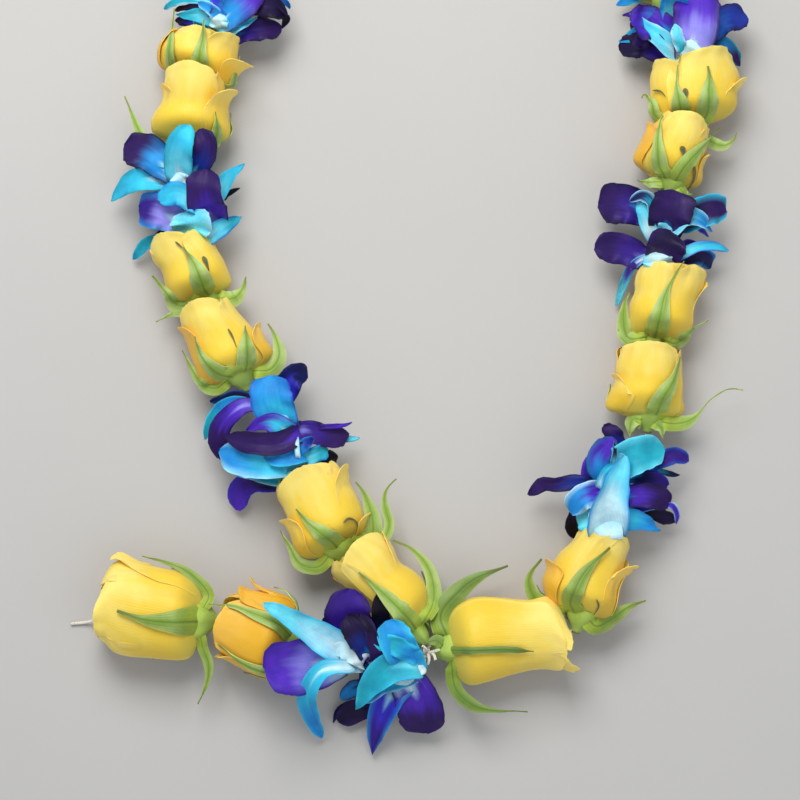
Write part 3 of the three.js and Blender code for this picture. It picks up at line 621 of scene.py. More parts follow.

# Roses. A point is [right, ahead, up] in mm from the flower's base, seen along the strand, and angles are in
# degrees. What a rose or a petal leaves out is as in plainRose and plainPetal.
# tall: the bud's height. crest: the share of it that its top keeps. pitch: how far its tip tilts up.
# bowl: the cup's radius as a share of the half width. rim: how far along the sepals leave the cup at most.
# green: how dark the sepals are. outline: share of the length, half width, shift to the right.
# sepals, those seen from above: width, widest share, route [right, ahead], and where a thin tail starts.
# under, the sepals beneath: angle round, reach, lift, width. slits, dark sheets where petals part,
# painted shade for the gap: width, route.
# petals, the outer ones: angle round, half spread, top, layer, gold (a deeper gold as painted shade),
# curl back, lift of an edge, lean, where it leaves the bud, roundness.

plainRose = {
    "tall": 33.8, "crest": 0.72, "pitch": 0, "bowl": 0.54, "rim": 6.4, "green": (1, 1, 1),
    "slits": [], "petals": [],
    "outline": [(0.04, 11, 0), (0.1, 14.6, 0), (0.2, 16.6, 0), (0.42, 16.4, 0), (0.6, 15, 0),
        (0.8, 13.6, 0), (0.93, 11.5, 0), (1, 8, 0)],
}
roses = {
    "rose_06": {
        "length": 54, "crest": 0.9,
        "outline": [(0.04, 7, 1.5), (0.12, 9, 3), (0.25, 11, 5.5), (0.42, 11.5, 5.5), (0.56, 11, 4.5),
            (0.7, 12.5, 5), (0.82, 13, 5), (0.92, 12, 4.5), (1, 8, 4.5)],
        "sepals": [(9.5, 0.3, [(2, 12), (2.5, 20), (2, 31), (1, 43)]),
            (6.5, 0.4, [(15.5, 10), (23.5, 21), (24.5, 33), (21, 42)])],
        "under": [(180, 36, 3, 5), (-35, 16, 3, 7), (-145, 18, 2, 6)],
        "petals": [(64, 68, 1, 0.9, 0, 0, 0.5, 6), (156, 60, 1, 0.5, 0.35),
            (-12, 45, 0.9, 0.5, 0.1, 9, 0.3), (215, 50, 0.95, 0.2, 0.4), (285, 55, 1, 0.4, 0.3)],
    },
    "rose_05": {
        "length": 47, "pitch": 4,
        "outline": [(0.04, 11, -1.5), (0.1, 14, -1.5), (0.2, 16, -1), (0.38, 16, 0), (0.55, 15.5, 0.5),
            (0.7, 15, 0.5), (0.83, 14.5, 0), (0.94, 10.5, -0.5), (1, 6.5, -0.5)],
        "sepals": [(9.5, 0.3, [(-2, 12), (-7, 23), (-9, 31)]),
            (8, 0.4, [(14.5, 4.5), (19, 12), (20.5, 23), (19.5, 29.5)]),
            (4.5, 0.5, [(15.5, -0.5), (24, 5), (26.5, 14.5), (30.5, 20.5), (36.5, 22.5)]),
            (6, 0.4, [(-13, 3), (-19.5, 8), (-20, 16), (-20.5, 25.5)])],
        "under": [(-100, 14, 2, 7)],
        "slits": [(1.3, [(7, 16), (10, 16.5), (12, 14), (11.5, 10.5)])],
        "petals": [(86, 70, 1, 0.6, 0, 0, 0.3), (172, 42, 0.58, 1.3, 0.45, 14, -0.9, -6),
            (26, 34, 0.84, 0.4, 0.1, 46, 0, 0, 0.62, 0.2), (10, 50, 0.9, 0.1, 0.1),
            (20, 22, 0.22, 1.7, 0, 30), (180, 50, 0.97, 0.1, 0.3), (270, 70, 0.98, 0.3, 0.3)],
    },
    "rose_04": {
        "length": 43, "crest": 0.92,
        "outline": [(0.04, 13.5, -1.5), (0.1, 16, -1), (0.3, 15.5, -1.5), (0.5, 14, -2.5), (0.7, 12, -3.5),
            (0.85, 11, -4), (0.95, 9.5, -4), (1, 8.5, -4)],
        "sepals": [(10, 0.25, [(-9, 10), (-12.5, 19), (-12, 29)]),
            (9.5, 0.45, [(4.5, 9), (8, 17), (10, 25)]),
            (7, 0.4, [(13, 3), (19, 7.5), (20.5, 16), (19.5, 22.5)]),
            (6, 0.4, [(-13.5, 4.5), (-18.5, 11), (-20.5, 26)])],
        "under": [(-60, 14, 2, 7)],
        "slits": [(0.9, [(3, 26.5), (3.5, 22.5), (3.5, 17.5)])],
        "petals": [(106, 66, 1.03, 0.8, 0, 0, 0.4), (24, 44, 0.93, 0.4, 0.05, 0, 0.3),
            (172, 46, 0.82, 1.1, 0.6, 10, -0.6, -6, 0.5, 0.12),
            (2, 44, 0.52, 1.4, 0.65, 28, 0.8, 0, 0.4, 0.1), (255, 60, 0.95, 0.3, 0.5)],
    },
    "rose_03": {
        "length": 37, "pitch": 4, "bowl": 0.3,
        "outline": [(0.04, 9.5, -1), (0.1, 12.5, -2.5), (0.22, 13.5, -3.5), (0.45, 13, -3.5),
            (0.58, 12.5, -4), (0.7, 13, -5), (0.83, 12, -6), (0.95, 9.5, -6.5), (1, 7.5, -6.5)],
        "sepals": [(10, 0.42, [(-1, 9), (-1, 18.5), (-3.5, 29)]),
            (7.5, 0.35, [(9.5, 1), (15, 4), (18, 8.5)]), (9, 0.3, [(-14, 5.5), (-18, 13.5), (-21.5, 22.5)]),
            (4, 0.4, [(-10, 0.5), (-18.5, 3.5), (-27, 2.5)])],
        "under": [(-70, 12, 2, 7)],
        "slits": [(2.2, [(3.5, 22.5), (4, 19), (4, 15.5)]), (0.8, [(-6, 32.5), (-4.5, 30), (-3, 27)])],
        "petals": [(20, 54, 0.95, 1, 0.05, 0, 0.9, 14), (126, 74, 1.05, 0.4, 0, 10),
            (178, 34, 0.9, 0.3, 0.1), (225, 50, 0.95, 0.2, 0.4), (290, 55, 1, 0.5, 0.3)],
    },
    "rose_02": {
        "length": 40.5, "crest": 1.06,
        "outline": [(0.04, 13, -0.5), (0.1, 16, -1), (0.2, 17, -1.5), (0.36, 15.5, -1.5), (0.52, 13, -0.5),
            (0.7, 13, 0), (0.84, 12.5, 0), (0.93, 10.5, -0.5), (1, 7, -1)],
        "sepals": [(6.5, 0.45, [(9.5, 5.5), (11.5, 11), (10.5, 18.5)]),
            (5, 0.35, [(-14.5, 2.5), (-22.5, 7.5), (-28, 18.5), (-31, 25.5)])],
        "under": [(-20, 14, 2, 6), (-150, 12, 2, 6)],
        "petals": [(98, 64, 1, 0.7), (34, 32, 0.76, 1, 0.08, 66, 0.2, 2, 0.35, 0.4),
            (8, 48, 0.92, 0.1, 0.2), (172, 46, 0.74, 0.3, 0.35, 8), (240, 50, 0.95, 0.2, 0.3),
            (300, 50, 0.95, 0.4, 0.3)],
    },
    "rose_01": {
        "length": 29, "pitch": 8, "bowl": 0.3,
        "outline": [(0.04, 13, 0), (0.1, 16, -1), (0.3, 17, -2.5), (0.55, 16.5, -2.5), (0.72, 14.5, -1.5),
            (0.86, 12, 0.5), (1, 9, 2)],
        "sepals": [(9, 0.25, [(0.5, 9), (-0.5, 16.5), (-1, 24), (-2.5, 31)]),
            (5, 0.3, [(-12, 7.5), (-15, 18.5), (-17, 27), (-18, 34)])],
        "under": [(20, 14, 2, 6), (-35, 12, 2, 6), (-150, 14, 2, 6)],
        "petals": [(36, 52, 1, 0.9, 0, 0, 0.6), (128, 54, 0.97, 0.4, 0.12),
            (30, 24, 0.66, 1.2, 0.2, 68, 0.2, 0, 0.1, 0.04), (190, 38, 0.86, 1.1, 0.6, 10, -0.9, -6),
            (265, 60, 1, 0.3, 0.3)],
    },
    "rose_20": {
        "length": 41, "crest": 0.92,
        "sepals": [(9.5, 0.3, [(2, 12), (1, 24), (3, 34)]), (7, 0.35, [(13, 6), (18, 15), (17, 24)])],
        "under": [(150, 24, 0.5, 8), (-35, 14, 3, 6), (-150, 14, 2, 6)],
    },
    "rose_19": {
        "length": 40, "pitch": 4,
        "sepals": [(9.5, 0.3, [(-3, 12), (-2, 22), (-4, 33)]), (7, 0.35, [(-13, 5), (-19, 13), (-21, 24)])],
        "under": [(30, 18, 2, 8), (-30, 16, 3, 6), (-140, 12, 2, 6)],
    },
    "rose_18": {
        "length": 41,
        "sepals": [(9, 0.35, [(4, 12), (3, 22), (5, 34)]), (7, 0.35, [(13, 5), (19, 12), (22, 22)])],
        "under": [(140, 22, 0.5, 8), (-40, 14, 3, 6), (-155, 14, 3, 6)],
    },
    "rose_12": {
        "length": 61, "crest": 0.75, "bowl": 0.42, "green": (0.52, 0.59, 0.44),
        "outline": [(0.03, 11, 0), (0.07, 15, 0), (0.15, 18, -0.5), (0.26, 18.5, -1.5), (0.5, 16.5, -1.5),
            (0.68, 15, -0.5), (0.85, 15.5, 0), (0.95, 12.5, 4.5), (1, 8, 8)],
        "sepals": [(3.2, 0.8, [(1, 16), (3, 30), (6, 43)]),
            (9.5, 0.35, [(-15, 4.5), (-23, 12.5), (-29, 23), (-32.5, 38)]),
            (6, 0.4, [(17.5, 6), (25.5, 11), (30, 19), (33.5, 36.5)], 0.85),
            (6, 0.4, [(-4.5, 1), (-4, -4.5)])],
        "under": [(-40, 10, 2, 6)],
        "petals": [(92, 76, 0.94, 0.9, 0, 0, 0.4, -14), (14, 46, 1.03, 0.5, 0.12, 6, 0, 6),
            (120, 70, 1, 0.3, 0.04), (265, 60, 0.98, 0.3, 0.3)],
    },
    "rose_11": {
        "length": 46, "pitch": 2, "green": (0.72, 0.74, 0.5),
        "outline": [(0.04, 11, -1.5), (0.1, 14, -2), (0.25, 16, -3.5), (0.4, 15, -3.5), (0.58, 14, -3),
            (0.74, 12, -1.5), (0.85, 11, -0.5), (0.95, 9, 0), (1, 7, 1)],
        "sepals": [(9, 0.3, [(-7.5, 12), (-5.5, 25), (2, 39.5)]),
            (6.5, 0.4, [(-20, 6.5), (-26.5, 12.5), (-27, 18.5), (-24.5, 25)]),
            (8, 0.35, [(8, 3.5), (14, 9), (19.5, 16), (26, 21)])],
        "under": [(-60, 10, 4, 6), (205, 6, 5, 5)],
        "slits": [(0.8, [(3.5, 15.5), (5.5, 12.5), (5, 8)])],
        "petals": [(58, 56, 1, 0.7, 0, 0, 0.5), (134, 52, 0.98, 0.4, 0.12),
            (-16, 36, 0.74, 1.2, 0.35, 9, 0.9), (26, 30, 0.78, 0.9, 0.35, 50, 0.2, 0, 0.5, 0.3),
            (172, 40, 0.52, 1.2, 0.8, 40, -0.9, -10), (265, 60, 0.95, 0.3, 0.4)],
    },
    "rose_10": {
        "length": 37.5, "crest": 0.92, "bowl": 0.49, "rim": 3.4,
        "outline": [(0.04, 16, -1.5), (0.1, 17, -1.5), (0.25, 16, -1.5), (0.5, 14.5, -0.5),
            (0.62, 14.5, -1), (0.85, 13, -1), (0.95, 11.5, -1), (1, 10, -0.5)],
        "sepals": [(10, 0.35, [(4.5, 13.5), (8.5, 21), (11.5, 32.5)]),
            (6.5, 0.25, [(11, 2.5), (19.5, 5), (28, 15), (35.5, 19.5), (42, 19.5)], 0.55),
            (7.5, 0.5, [(-7.5, 3), (-8.5, -4.5)]), (5, 0.4, [(5.5, 0), (6.5, -5)])],
        "under": [(-150, 12, 1, 6)],
        "petals": [(99, 76, 1.04, 0.4), (176, 62, 0.56, 0.8, 0.2, 4, 0, -4, 0.55, 0.5),
            (-6, 46, 0.95, 0.2, 0.45, 0, 0, 4), (225, 50, 0.96, 0.3, 0.4), (290, 50, 0.96, 0.5, 0.3)],
    },
    "rose_09": {
        "length": 41, "pitch": 4, "bowl": 0.36,
        "outline": [(0.04, 9, 0), (0.1, 12, 1), (0.25, 13.5, 1.5), (0.42, 13.5, 1), (0.57, 13, 2),
            (0.72, 14, 2.5), (0.85, 13.5, 3), (0.95, 11, 4), (1, 7.5, 4.5)],
        "sepals": [(10, 0.25, [(-0.5, 14.5), (0.5, 25.5), (3.5, 35), (6.5, 41.5)], 0.85),
            (7, 0.4, [(-11.5, 4.5), (-15, 12), (-15.5, 20.5), (-14, 25)]),
            (7.5, 0.35, [(9.5, 5.5), (16, 12.5), (22.5, 18)], 0.8), (4, 0.4, [(-12, 2.5), (-17, 8)])],
        "under": [(-80, 12, 2, 6)],
        "petals": [(34, 52, 1, 0.9, 0.05, 4, 0.7, 6), (134, 54, 0.98, 0.4),
            (-14, 38, 0.85, 0.9, 0.3, 8, 0.4), (225, 50, 0.96, 0.3, 0.4), (290, 50, 0.96, 0.4, 0.3)],
    },
    "rose_08": {
        "length": 36, "crest": 1.04,
        "outline": [(0.04, 11.5, -3), (0.1, 14, -4), (0.18, 15, -4), (0.38, 14, -4.5), (0.6, 13, -4.5),
            (0.8, 11.5, -4.5), (0.93, 9.5, -4.5), (1, 8, -4)],
        "sepals": [(8, 0.3, [(-9, 10), (-13.5, 18.5), (-15.5, 27.5), (-15.5, 31)]),
            (7.5, 0.3, [(1.5, 13), (5.5, 24), (9, 33), (11, 37)], 0.75), (5, 0.4, [(-10, 2), (-15, 1)]),
            (5, 0.4, [(8, 2.5), (11, 5)])],
        "under": [(-35, 14, 2, 6)],
        "slits": [(2.6, [(-3.5, 20.5), (-1.5, 19), (-0.5, 16)]), (1.6, [(6, 15), (8, 10.5), (8, 5.5)])],
        "petals": [(84, 58, 1.03, 0.6, 0, 0, 0.2), (182, 44, 0.72, 1.2, 0.8, 20, -0.9, -8),
            (-4, 42, 0.62, 1, 0.35, 8, 0.6), (160, 50, 0.95, 0.3, 0.3), (10, 50, 0.95, 0.2, 0.2),
            (265, 60, 0.95, 0.3, 0.3)],
    },
    "rose_07": {
        "length": 39.5, "pitch": 5,
        "outline": [(0.04, 12, -1), (0.1, 15.5, 0), (0.2, 18, 1.5), (0.4, 18.5, 2), (0.6, 19, 2.5),
            (0.75, 17, 3), (0.88, 13.5, 4), (1, 8, 7)],
        "sepals": [(8.5, 0.25, [(-5.5, 13), (-7, 22), (-6, 30.5), (-4.5, 36)], 0.7),
            (9.5, 0.45, [(6.5, 9), (7, 18), (7.5, 24.5), (7, 30)]),
            (6, 0.4, [(-15, 9), (-17.5, 16), (-20, 20), (-21.5, 18)]),
            (5.5, 0.4, [(8.5, -2), (15, -4), (19.5, -1.5), (21.5, 2)])],
        "under": [(-100, 14, 2, 6)],
        "slits": [(2.6, [(-3.5, 20.5), (-3.5, 17.5), (-4.5, 14.5)]),
            (0.9, [(-17, 21), (-14, 20), (-12, 17.5)])],
        "petals": [(60, 72, 0.99, 1, 0, 0, 0.8), (158, 50, 0.88, 0.4, 0.05, 30),
            (14, 36, 0.62, 0.6, 0.2, 36, 0.2, 0, 0.5, 0.3), (230, 50, 0.95, 0.2, 0.3),
            (295, 50, 0.95, 0.4, 0.3)],
    },
    "rose_15": {
        "length": 37, "crest": 0.92,
        "sepals": [(9.5, 0.3, [(-2, 12), (-1, 20), (-3, 30)]), (7, 0.35, [(13, 5), (19, 12), (20, 20)])],
        "under": [(160, 20, 4, 8), (-35, 14, 3, 6), (-145, 14, 2, 6)],
    },
    "rose_16": {
        "length": 42, "pitch": 5,
        "sepals": [(9.5, 0.35, [(3, 12), (2, 24), (4, 35)]), (7, 0.35, [(14, 6), (19, 14), (21, 25)])],
        "under": [(155, 24, 0.5, 9), (-30, 14, 3, 6), (-150, 14, 2, 6)],
    },
    "rose_17": {
        "length": 41,
        "sepals": [(9.5, 0.3, [(-3, 12), (-2, 24), (-5, 34)]), (8, 0.35, [(8, 11), (10, 19), (9, 28)]),
            (6, 0.35, [(-14, 5), (-20, 13), (-21, 23)])],
        "under": [(-38, 14, 3, 6), (-148, 14, 2, 6)],
    },
    "rose_13": {
        "length": 41, "crest": 0.6,
        "outline": [(0.04, 13, 0), (0.1, 16.5, 0.5), (0.25, 18, 1), (0.55, 17, 1), (0.72, 15, 1),
            (0.85, 13, 1), (0.95, 10, 1), (1, 7.5, 1)],
        "sepals": [(6, 0.3, [(8.5, 14), (9.5, 28), (9.5, 36), (7, 46)]),
            (6, 0.3, [(-13, 10), (-14, 18), (-12.5, 27), (-8.5, 36.5)])],
        "under": [(0, 14, 2, 6), (-40, 12, 2, 6), (200, 16, 2, 6)],
        "petals": [(95, 60, 1, 0.8, 1, 0, 0.4), (15, 40, 0.86, 0.6, 0.75, 26, 0.3),
            (2, 15, 0.8, 1, 0.7, 50, 0, 0, 0.5, 0.5), (180, 40, 0.9, 0.6, 0.8, 26, -0.5, 0, 0.6),
            (235, 50, 1, 0.2, 0.7), (300, 50, 1, 0.4, 0.7)],
    },
    "rose_14": {
        "length": 54, "tall": 35, "green": (0.74, 0.76, 0.56),
        "outline": [(0.04, 12, -1.5), (0.07, 14.5, -2), (0.13, 17, -1.5), (0.27, 19, 0), (0.45, 19.5, 0.5),
            (0.65, 20, 1), (0.8, 19.5, 2), (0.87, 17, 3), (0.94, 13, 1), (1, 8.5, -1)],
        "sepals": [(13, 0.12, [(-0.5, 13), (-1.5, 29.5), (1, 43.5)]),
            (5, 0.3, [(12, 4.5), (20.5, 14.5), (24, 26), (25.5, 36)]),
            (4.5, 0.35, [(-13, 4), (-19, 1), (-27, 0.5), (-38, 3.5)])],
        "under": [(-150, 20, 1, 7), (-30, 16, 1, 7)],
        "petals": [(16, 30, 0.93, 0.8, 0, 30, 0.2, -4, 0.6, 0.4), (14, 50, 0.97, 0.3),
            (96, 74, 1, 0.5, 0, 0, 0.1, 4), (182, 50, 0.96, 0.1, 0.25), (240, 50, 0.96, 0.5, 0.4),
            (305, 50, 0.96, 0.2, 0.3)],
    },
}
for name, rose in roses.items():
    roses[name] = {**plainRose, **rose}


# Rose petals: each seed point carries how its petal wraps the bud, and the tree bends one patch per point

roseShape = {
    "base": 5.6, "foot": 4, "columns": 20, "rows": 23, "thickness": 0.3, "floor": -17.2, "span": 25,
    "past": 1.1, "slope": 12, "footHeight": 0.44, "crestFrom": 0.15, "crestFull": 0.75, "pitchMiddle": 0.45,
    "ripple": 2.4, "crimp": 1.2, "flare": 0.9, "heartDrop": 4, "inner": 7, "goldenTurn": 137.5,
}
plainPetal = (0, 0, 0, 0, 0.55, 0.09)  # gold (painted shade), curl, lift, lean, leaves, rounding
innerPetal = {  # each value at the outermost of the inner petals, and its change towards the heart
    "spread": (76, 10), "top": (0.985, -0.05), "layer": (-0.3, 0), "depth": (0.15, 0.7), "curl": (4, -4),
    "lift": (0.3, 0), "lean": (12, 0), "leaves": (0.55, 0), "rounding": (0.07, 0), "shrink": (0.97, -0.74),
}
petalColumns = ("turn", *innerPetal)
petalUnits = (degree, degree, 1, mm, 1, degree, mm, degree, 1, 1, 1)


def outlineOf(rose):  # the bud's outline, closed down to its foot
    return [(0, roseShape["foot"], 0), *rose["outline"]]


def petalFormer(outline, inputs):
    graph = Former("wrappedPetals", inputs)
    petals, u, v = graph.patches(graph.input("Geometry"))
    v = v * 0.5 + graph.ramp(v, 0.0, 1.0) * 0.5  # closer rows at the foot and at the rim
    petals = graph.mapped(petals, u, v)
    turn, spread, top, layer = [graph.named(name) for name in ("turn", "spread", "top", "layer")]
    curl, lift, lean, leaves = [graph.named(name) for name in ("curl", "lift", "lean", "leaves")]
    rounding, shrink, seed = [graph.named(name) for name in ("rounding", "shrink", "seed")]
    long = graph.input("Length") - graph.input("Base")
    ripple = graph.noise(graph.combine(u * 1.3, v * 1.1, seed * 17.0), 1.7, 1.5) - 0.5
    crimp = graph.noise(graph.combine(u * 4.0, v * 2.2, seed * 31.0), 1.3, 2.0) - 0.5
    rim = graph.ramp(v, 0.85, 1.0) ** 1.5
    run = v * (1 - rounding * abs(u) ** 2.4 * v) + crimp * 0.04 * v ** 4.0
    rolled = graph.maths("MAXIMUM", run - leaves, 0.0) / (1 - leaves)
    bend = graph.maths("MAXIMUM", curl, 0.03)
    radius = top * long * (1 - leaves) / bend  # past its share "leaves", a petal leaves the bud along an arc
    climb = radius * graph.maths("SINE", bend * rolled)
    out = radius * (1 - graph.maths("COSINE", bend * rolled))
    rise = graph.maths("MINIMUM", run, leaves) * top * long + climb
    angle = turn + lean * v + u * spread * (1 - 0.2 * (1 - v) ** 4.0 - 0.2 * v ** 5.0)
    past = roseShape["past"]
    share = graph.maths("MINIMUM", rise / long, past) / past

    def along(column, centre, last=1.0):  # one column of the outline, as a smooth curve of the share
        span = roseShape["span"]
        points = [(row[0] / past, centre + row[column] / span) for row in outline]
        points.append((1.0, centre + outline[-1][column] / span * last))
        curve = graph.get("ShaderNodeFloatCurve", {"curve": points}, {"Value": share})
        return (curve - centre) * (span * mm)

    half = along(1, 0.0, 0.8)
    sway = along(2, 0.5)
    widest = max(row[1] for row in outline) * mm
    edge = graph.maths("MAXIMUM", u * graph.maths("SIGN", lift), 0.0) ** 9.0 * abs(lift)
    off = layer * graph.ramp(share, 0.0, 0.1) + out + edge * (0.3 + v) * graph.ramp(v, 0.05, 0.3)
    off = off + ripple * (roseShape["ripple"] * mm) * v * (0.4 + v)
    off = off + crimp * (roseShape["crimp"] * mm) * v ** 3.0 + rim * (roseShape["flare"] * mm)
    x = graph.maths("COSINE", angle) * (half * shrink + off) + sway
    crested = graph.ramp(share, roseShape["crestFrom"], roseShape["crestFull"])
    level = graph.mix(crested, half / widest, graph.input("Crest"), "FLOAT")
    sloped = graph.ramp(rise, 0.0, roseShape["slope"] * mm)
    level = level * graph.mix(sloped, roseShape["footHeight"], 1.0, "FLOAT")
    z = graph.maths("SINE", angle) * (level * graph.input("Half Height") * shrink + off)
    z = graph.above(z + graph.input("Pitch") * (share * past - roseShape["pitchMiddle"]))
    y = graph.input("Base") + rise - (1 - shrink) * (roseShape["heartDrop"] * mm) * (1 - v)
    values = {"Geometry": petals, "Position": graph.combine(x, y, z)}
    return graph.close(graph.get("GeometryNodeSetPosition", None, values))


def outerPetals(dice):  # the petals of a bud that has none of its own: two-fifths of a turn apart
    start = dice.uniform(0, 360)
    petals = []
    for i in range(5):
        spread = dice.uniform(52, 62)
        top = dice.uniform(0.93, 1.0)
        curl = dice.uniform(0, 18)
        lean = dice.uniform(-8, 8)
        gold = dice.uniform(0, 0.5)
        petals.append((start + 144 * i, spread, top, 1.0 - 0.2 * i, gold, curl, 0.7, lean))
    return petals


def rosePetals(name, rose):
    dice = random.Random(name)
    rows = [[*petal, *plainPetal[len(petal) - 4:], 1.0] for petal in rose["petals"] or outerPetals(dice)]
    start = dice.uniform(0, 360)
    for i in range(roseShape["inner"]):
        share = i / (roseShape["inner"] - 1)
        inner = [first + change * share for first, change in innerPetal.values()]
        rows.append([start + roseShape["goldenTurn"] * i, *inner])
    table = np.array(rows) * petalUnits
    seeds = [dice.random() for _ in rows]
    mesh = seedMesh(name, np.zeros((len(rows), 3)), seed=seeds, **dict(zip(petalColumns, table.T)))
    inputs = {
        "Half Height": rose["tall"] / 2 * mm, "Base": roseShape["base"] * mm, "Length": rose["length"] * mm,
        "Crest": rose["crest"], "Pitch": rose["pitch"] * mm, "Floor": roseShape["floor"] * mm,
        "Columns": roseShape["columns"], "Rows": roseShape["rows"],
    }
    piece = grow(petalFormer(outlineOf(rose), inputs), mesh, "petal", inputs, roseShape["thickness"])
    settle(piece, name + "_petals", frames[name])


for name, rose in roses.items():
    rosePetals(name, rose)
print("rose petals ready:", len(roses))


# Blades: orchid petals and rose sepals grow along ribs, one patch per rib

bladeFloor = -16.8  # mm from the string
bladeGap = 0.8  # mm, a rib stays this far above the surface


def bladeFormer():
    graph = Former("blades", {"Columns": 9, "Rows": 30, "Floor": bladeFloor * mm})
    ribs = graph.smoothCurve()
    count = graph.get("GeometryNodeAttributeDomainSize", {"component": "CURVE"}, {0: ribs}, "Spline Count")
    blades, u, v = graph.patches(graph.get("GeometryNodePoints", None, {"Count": count}), numbered=True)
    number = graph.named("number", "INT")

    def sampled(name, kind="FLOAT", output="Value"):
        settings = {"data_type": kind, "mode": "FACTOR", "use_all_curves": False}
        values = {"Curves": ribs, "Factor": v, "Curve Index": number}
        if name:
            values["Value"] = graph.named(name, kind)
        return graph.get("GeometryNodeSampleCurve", settings, values, output)

    for label in tintLabels:
        blades = graph.store(blades, label, sampled(label, "FLOAT_COLOR"), "FLOAT_COLOR")
    seed = sampled("seed")
    blades = graph.mapped(graph.store(blades, "seed", seed), u, v)
    centre = sampled(None, output="Position")
    ahead = graph.vector("NORMALIZE", sampled(None, output="Tangent"))
    across = sampled("across", "FLOAT_VECTOR")
    lean = graph.vector("SCALE", ahead, scale=graph.vector("DOT_PRODUCT", across, ahead))
    across = graph.vector("NORMALIZE", graph.vector("SUBTRACT", across, lean))
    outward = graph.vector("CROSS_PRODUCT", ahead, across)
    half = sampled("wide") * 0.5
    cup, fold, ruffle = graph.parts(sampled("shape", "FLOAT_VECTOR"))
    side = abs(u)
    sway = graph.noise(graph.combine(u * 0.7, v * 3.2, seed * 23.0), 1.6, 2.0) - 0.5
    wave = graph.maths("SINE", v * 21.0 + seed * 40.0 + u * 2.5)
    drop = -cup * side ** 2.0 * half - fold * side * half + (sway * 1.8 + wave * 0.5) * ruffle * side ** 1.6
    drop = drop + graph.ramp(side, 0.8, 1.0) * graph.ramp(v, 0.2, 0.5) * ruffle * 0.4
    ragged = graph.noise(graph.combine(u * 1.5, v * 9.0, seed * 51.0), 1.4, 2.0) - 0.5
    notch = (sway * 0.18 + ragged * 0.3 * graph.ramp(v, 0.3, 0.8)) * half * side ** 3.0
    notch = notch * graph.ramp(ruffle, 0.0003, 0.0012)  # only the orchid petals are ruffled enough for it
    spot = graph.vector("ADD", centre, graph.vector("SCALE", across, scale=u * half + notch * u))
    spot = graph.vector("ADD", spot, graph.vector("SCALE", outward, scale=drop))
    x, y, z = graph.parts(spot)
    values = {"Geometry": blades, "Position": graph.combine(x, y, graph.above(z))}
    return graph.close(graph.get("GeometryNodeSetPosition", None, values))


bladeTree = bladeFormer()


def unit(vectors):
    return vectors / np.linalg.norm(vectors, axis=1)[:, None]


def smooth(share):  # a smooth step
    return share * share * (3 - 2 * share)


def smoothRoute(route, count):  # evenly spaced places on a smooth line through the route's points
    route = np.array(route, float)
    padded = np.vstack([2 * route[0] - route[1], route, 2 * route[-1] - route[-2]])
    steps = np.linspace(0, 1, 16, endpoint=False)
    fine = []
    for a, b, c, d in zip(padded, padded[1:], padded[2:], padded[3:]):
        bend = 2 * a - 5 * b + 4 * c - d
        twist = 3 * b - a - 3 * c + d
        fine += [0.5 * (2 * b + (c - a) * t + bend * t * t + twist * t ** 3) for t in steps]
    fine = np.array([*fine, route[-1]])
    walked = np.concatenate([[0], np.cumsum(np.linalg.norm(np.diff(fine, axis=0), axis=1))])
    stops = np.linspace(0, walked[-1], count)
    return np.stack([np.interp(stops, walked, column) for column in fine.T], 1)


# What each point of a rib carries. Its shape is its cup, its fold and its ruffle.
def bladeRib(points, across, wide, shape, dice, shades):
    count = len(points)
    points[:, 2] = np.maximum(points[:, 2], bladeGap - stringHeight)
    rib = {"points": points * mm, "across": across, "wide": wide * mm, "shape": np.tile(shape, (count, 1))}
    rib["seed"] = np.full(count, dice.random())
    for label, shade in zip(tintLabels, shades):
        rib[label] = np.tile((*shade, 1), (count, 1))
    return rib


def bladed(name, ribs, material, shape, profile, coreMaterial):  # a flower's blades, joined to its round core
    points, edges = chain([rib.pop("points") for rib in ribs])
    carried = {label: np.concatenate([rib[label] for rib in ribs]) for label in ribs[0]}
    inputs = {"Columns": shape["columns"], "Rows": shape["rows"], "Floor": bladeFloor * mm}
    blades = grow(bladeTree, seedMesh(name, points, edges, **carried), material, inputs, shape["thickness"])
    return joined(blades, lathe(name + "core", profile, shape["sides"], shape["lobes"], coreMaterial))


def lathe(name, profile, sides, lobes, material):  # a closed round body about the strand, with five lobes
    angles = np.linspace(0, fullTurn, sides, endpoint=False)
    rings = len(profile)
    points = []
    for along, radius in profile:
        swell = radius * (1 + lobes * np.cos(5 * angles))
        points += [(x, along, z) for x, z in zip(swell * np.cos(angles), swell * np.sin(angles))]
    faces = []
    spots = []
    for ring in range(rings - 1):
        for i in range(sides):
            corners = [(i, ring), (i, ring + 1), (i + 1, ring + 1), (i + 1, ring)]
            faces.append([row * sides + column % sides for column, row in corners])
            spots += [(column / sides, row / (rings - 1)) for column, row in corners]
    faces += [list(range(sides)), list(reversed(range((rings - 1) * sides, rings * sides)))]
    spots += [(0.5, 0.0)] * sides + [(0.5, 1.0)] * sides
    mesh = bpy.data.meshes.new(name)
    mesh.from_pydata((np.array(points) * mm).tolist(), [], faces)
    mesh.uv_layers.new(name="UVMap").data.foreach_set("uv", np.array(spots, np.float32).ravel())
    mesh.polygons.foreach_set("use_smooth", [True] * len(faces))
    mesh.materials.append(materials[material])
    return added(name, mesh)


# Calyxes

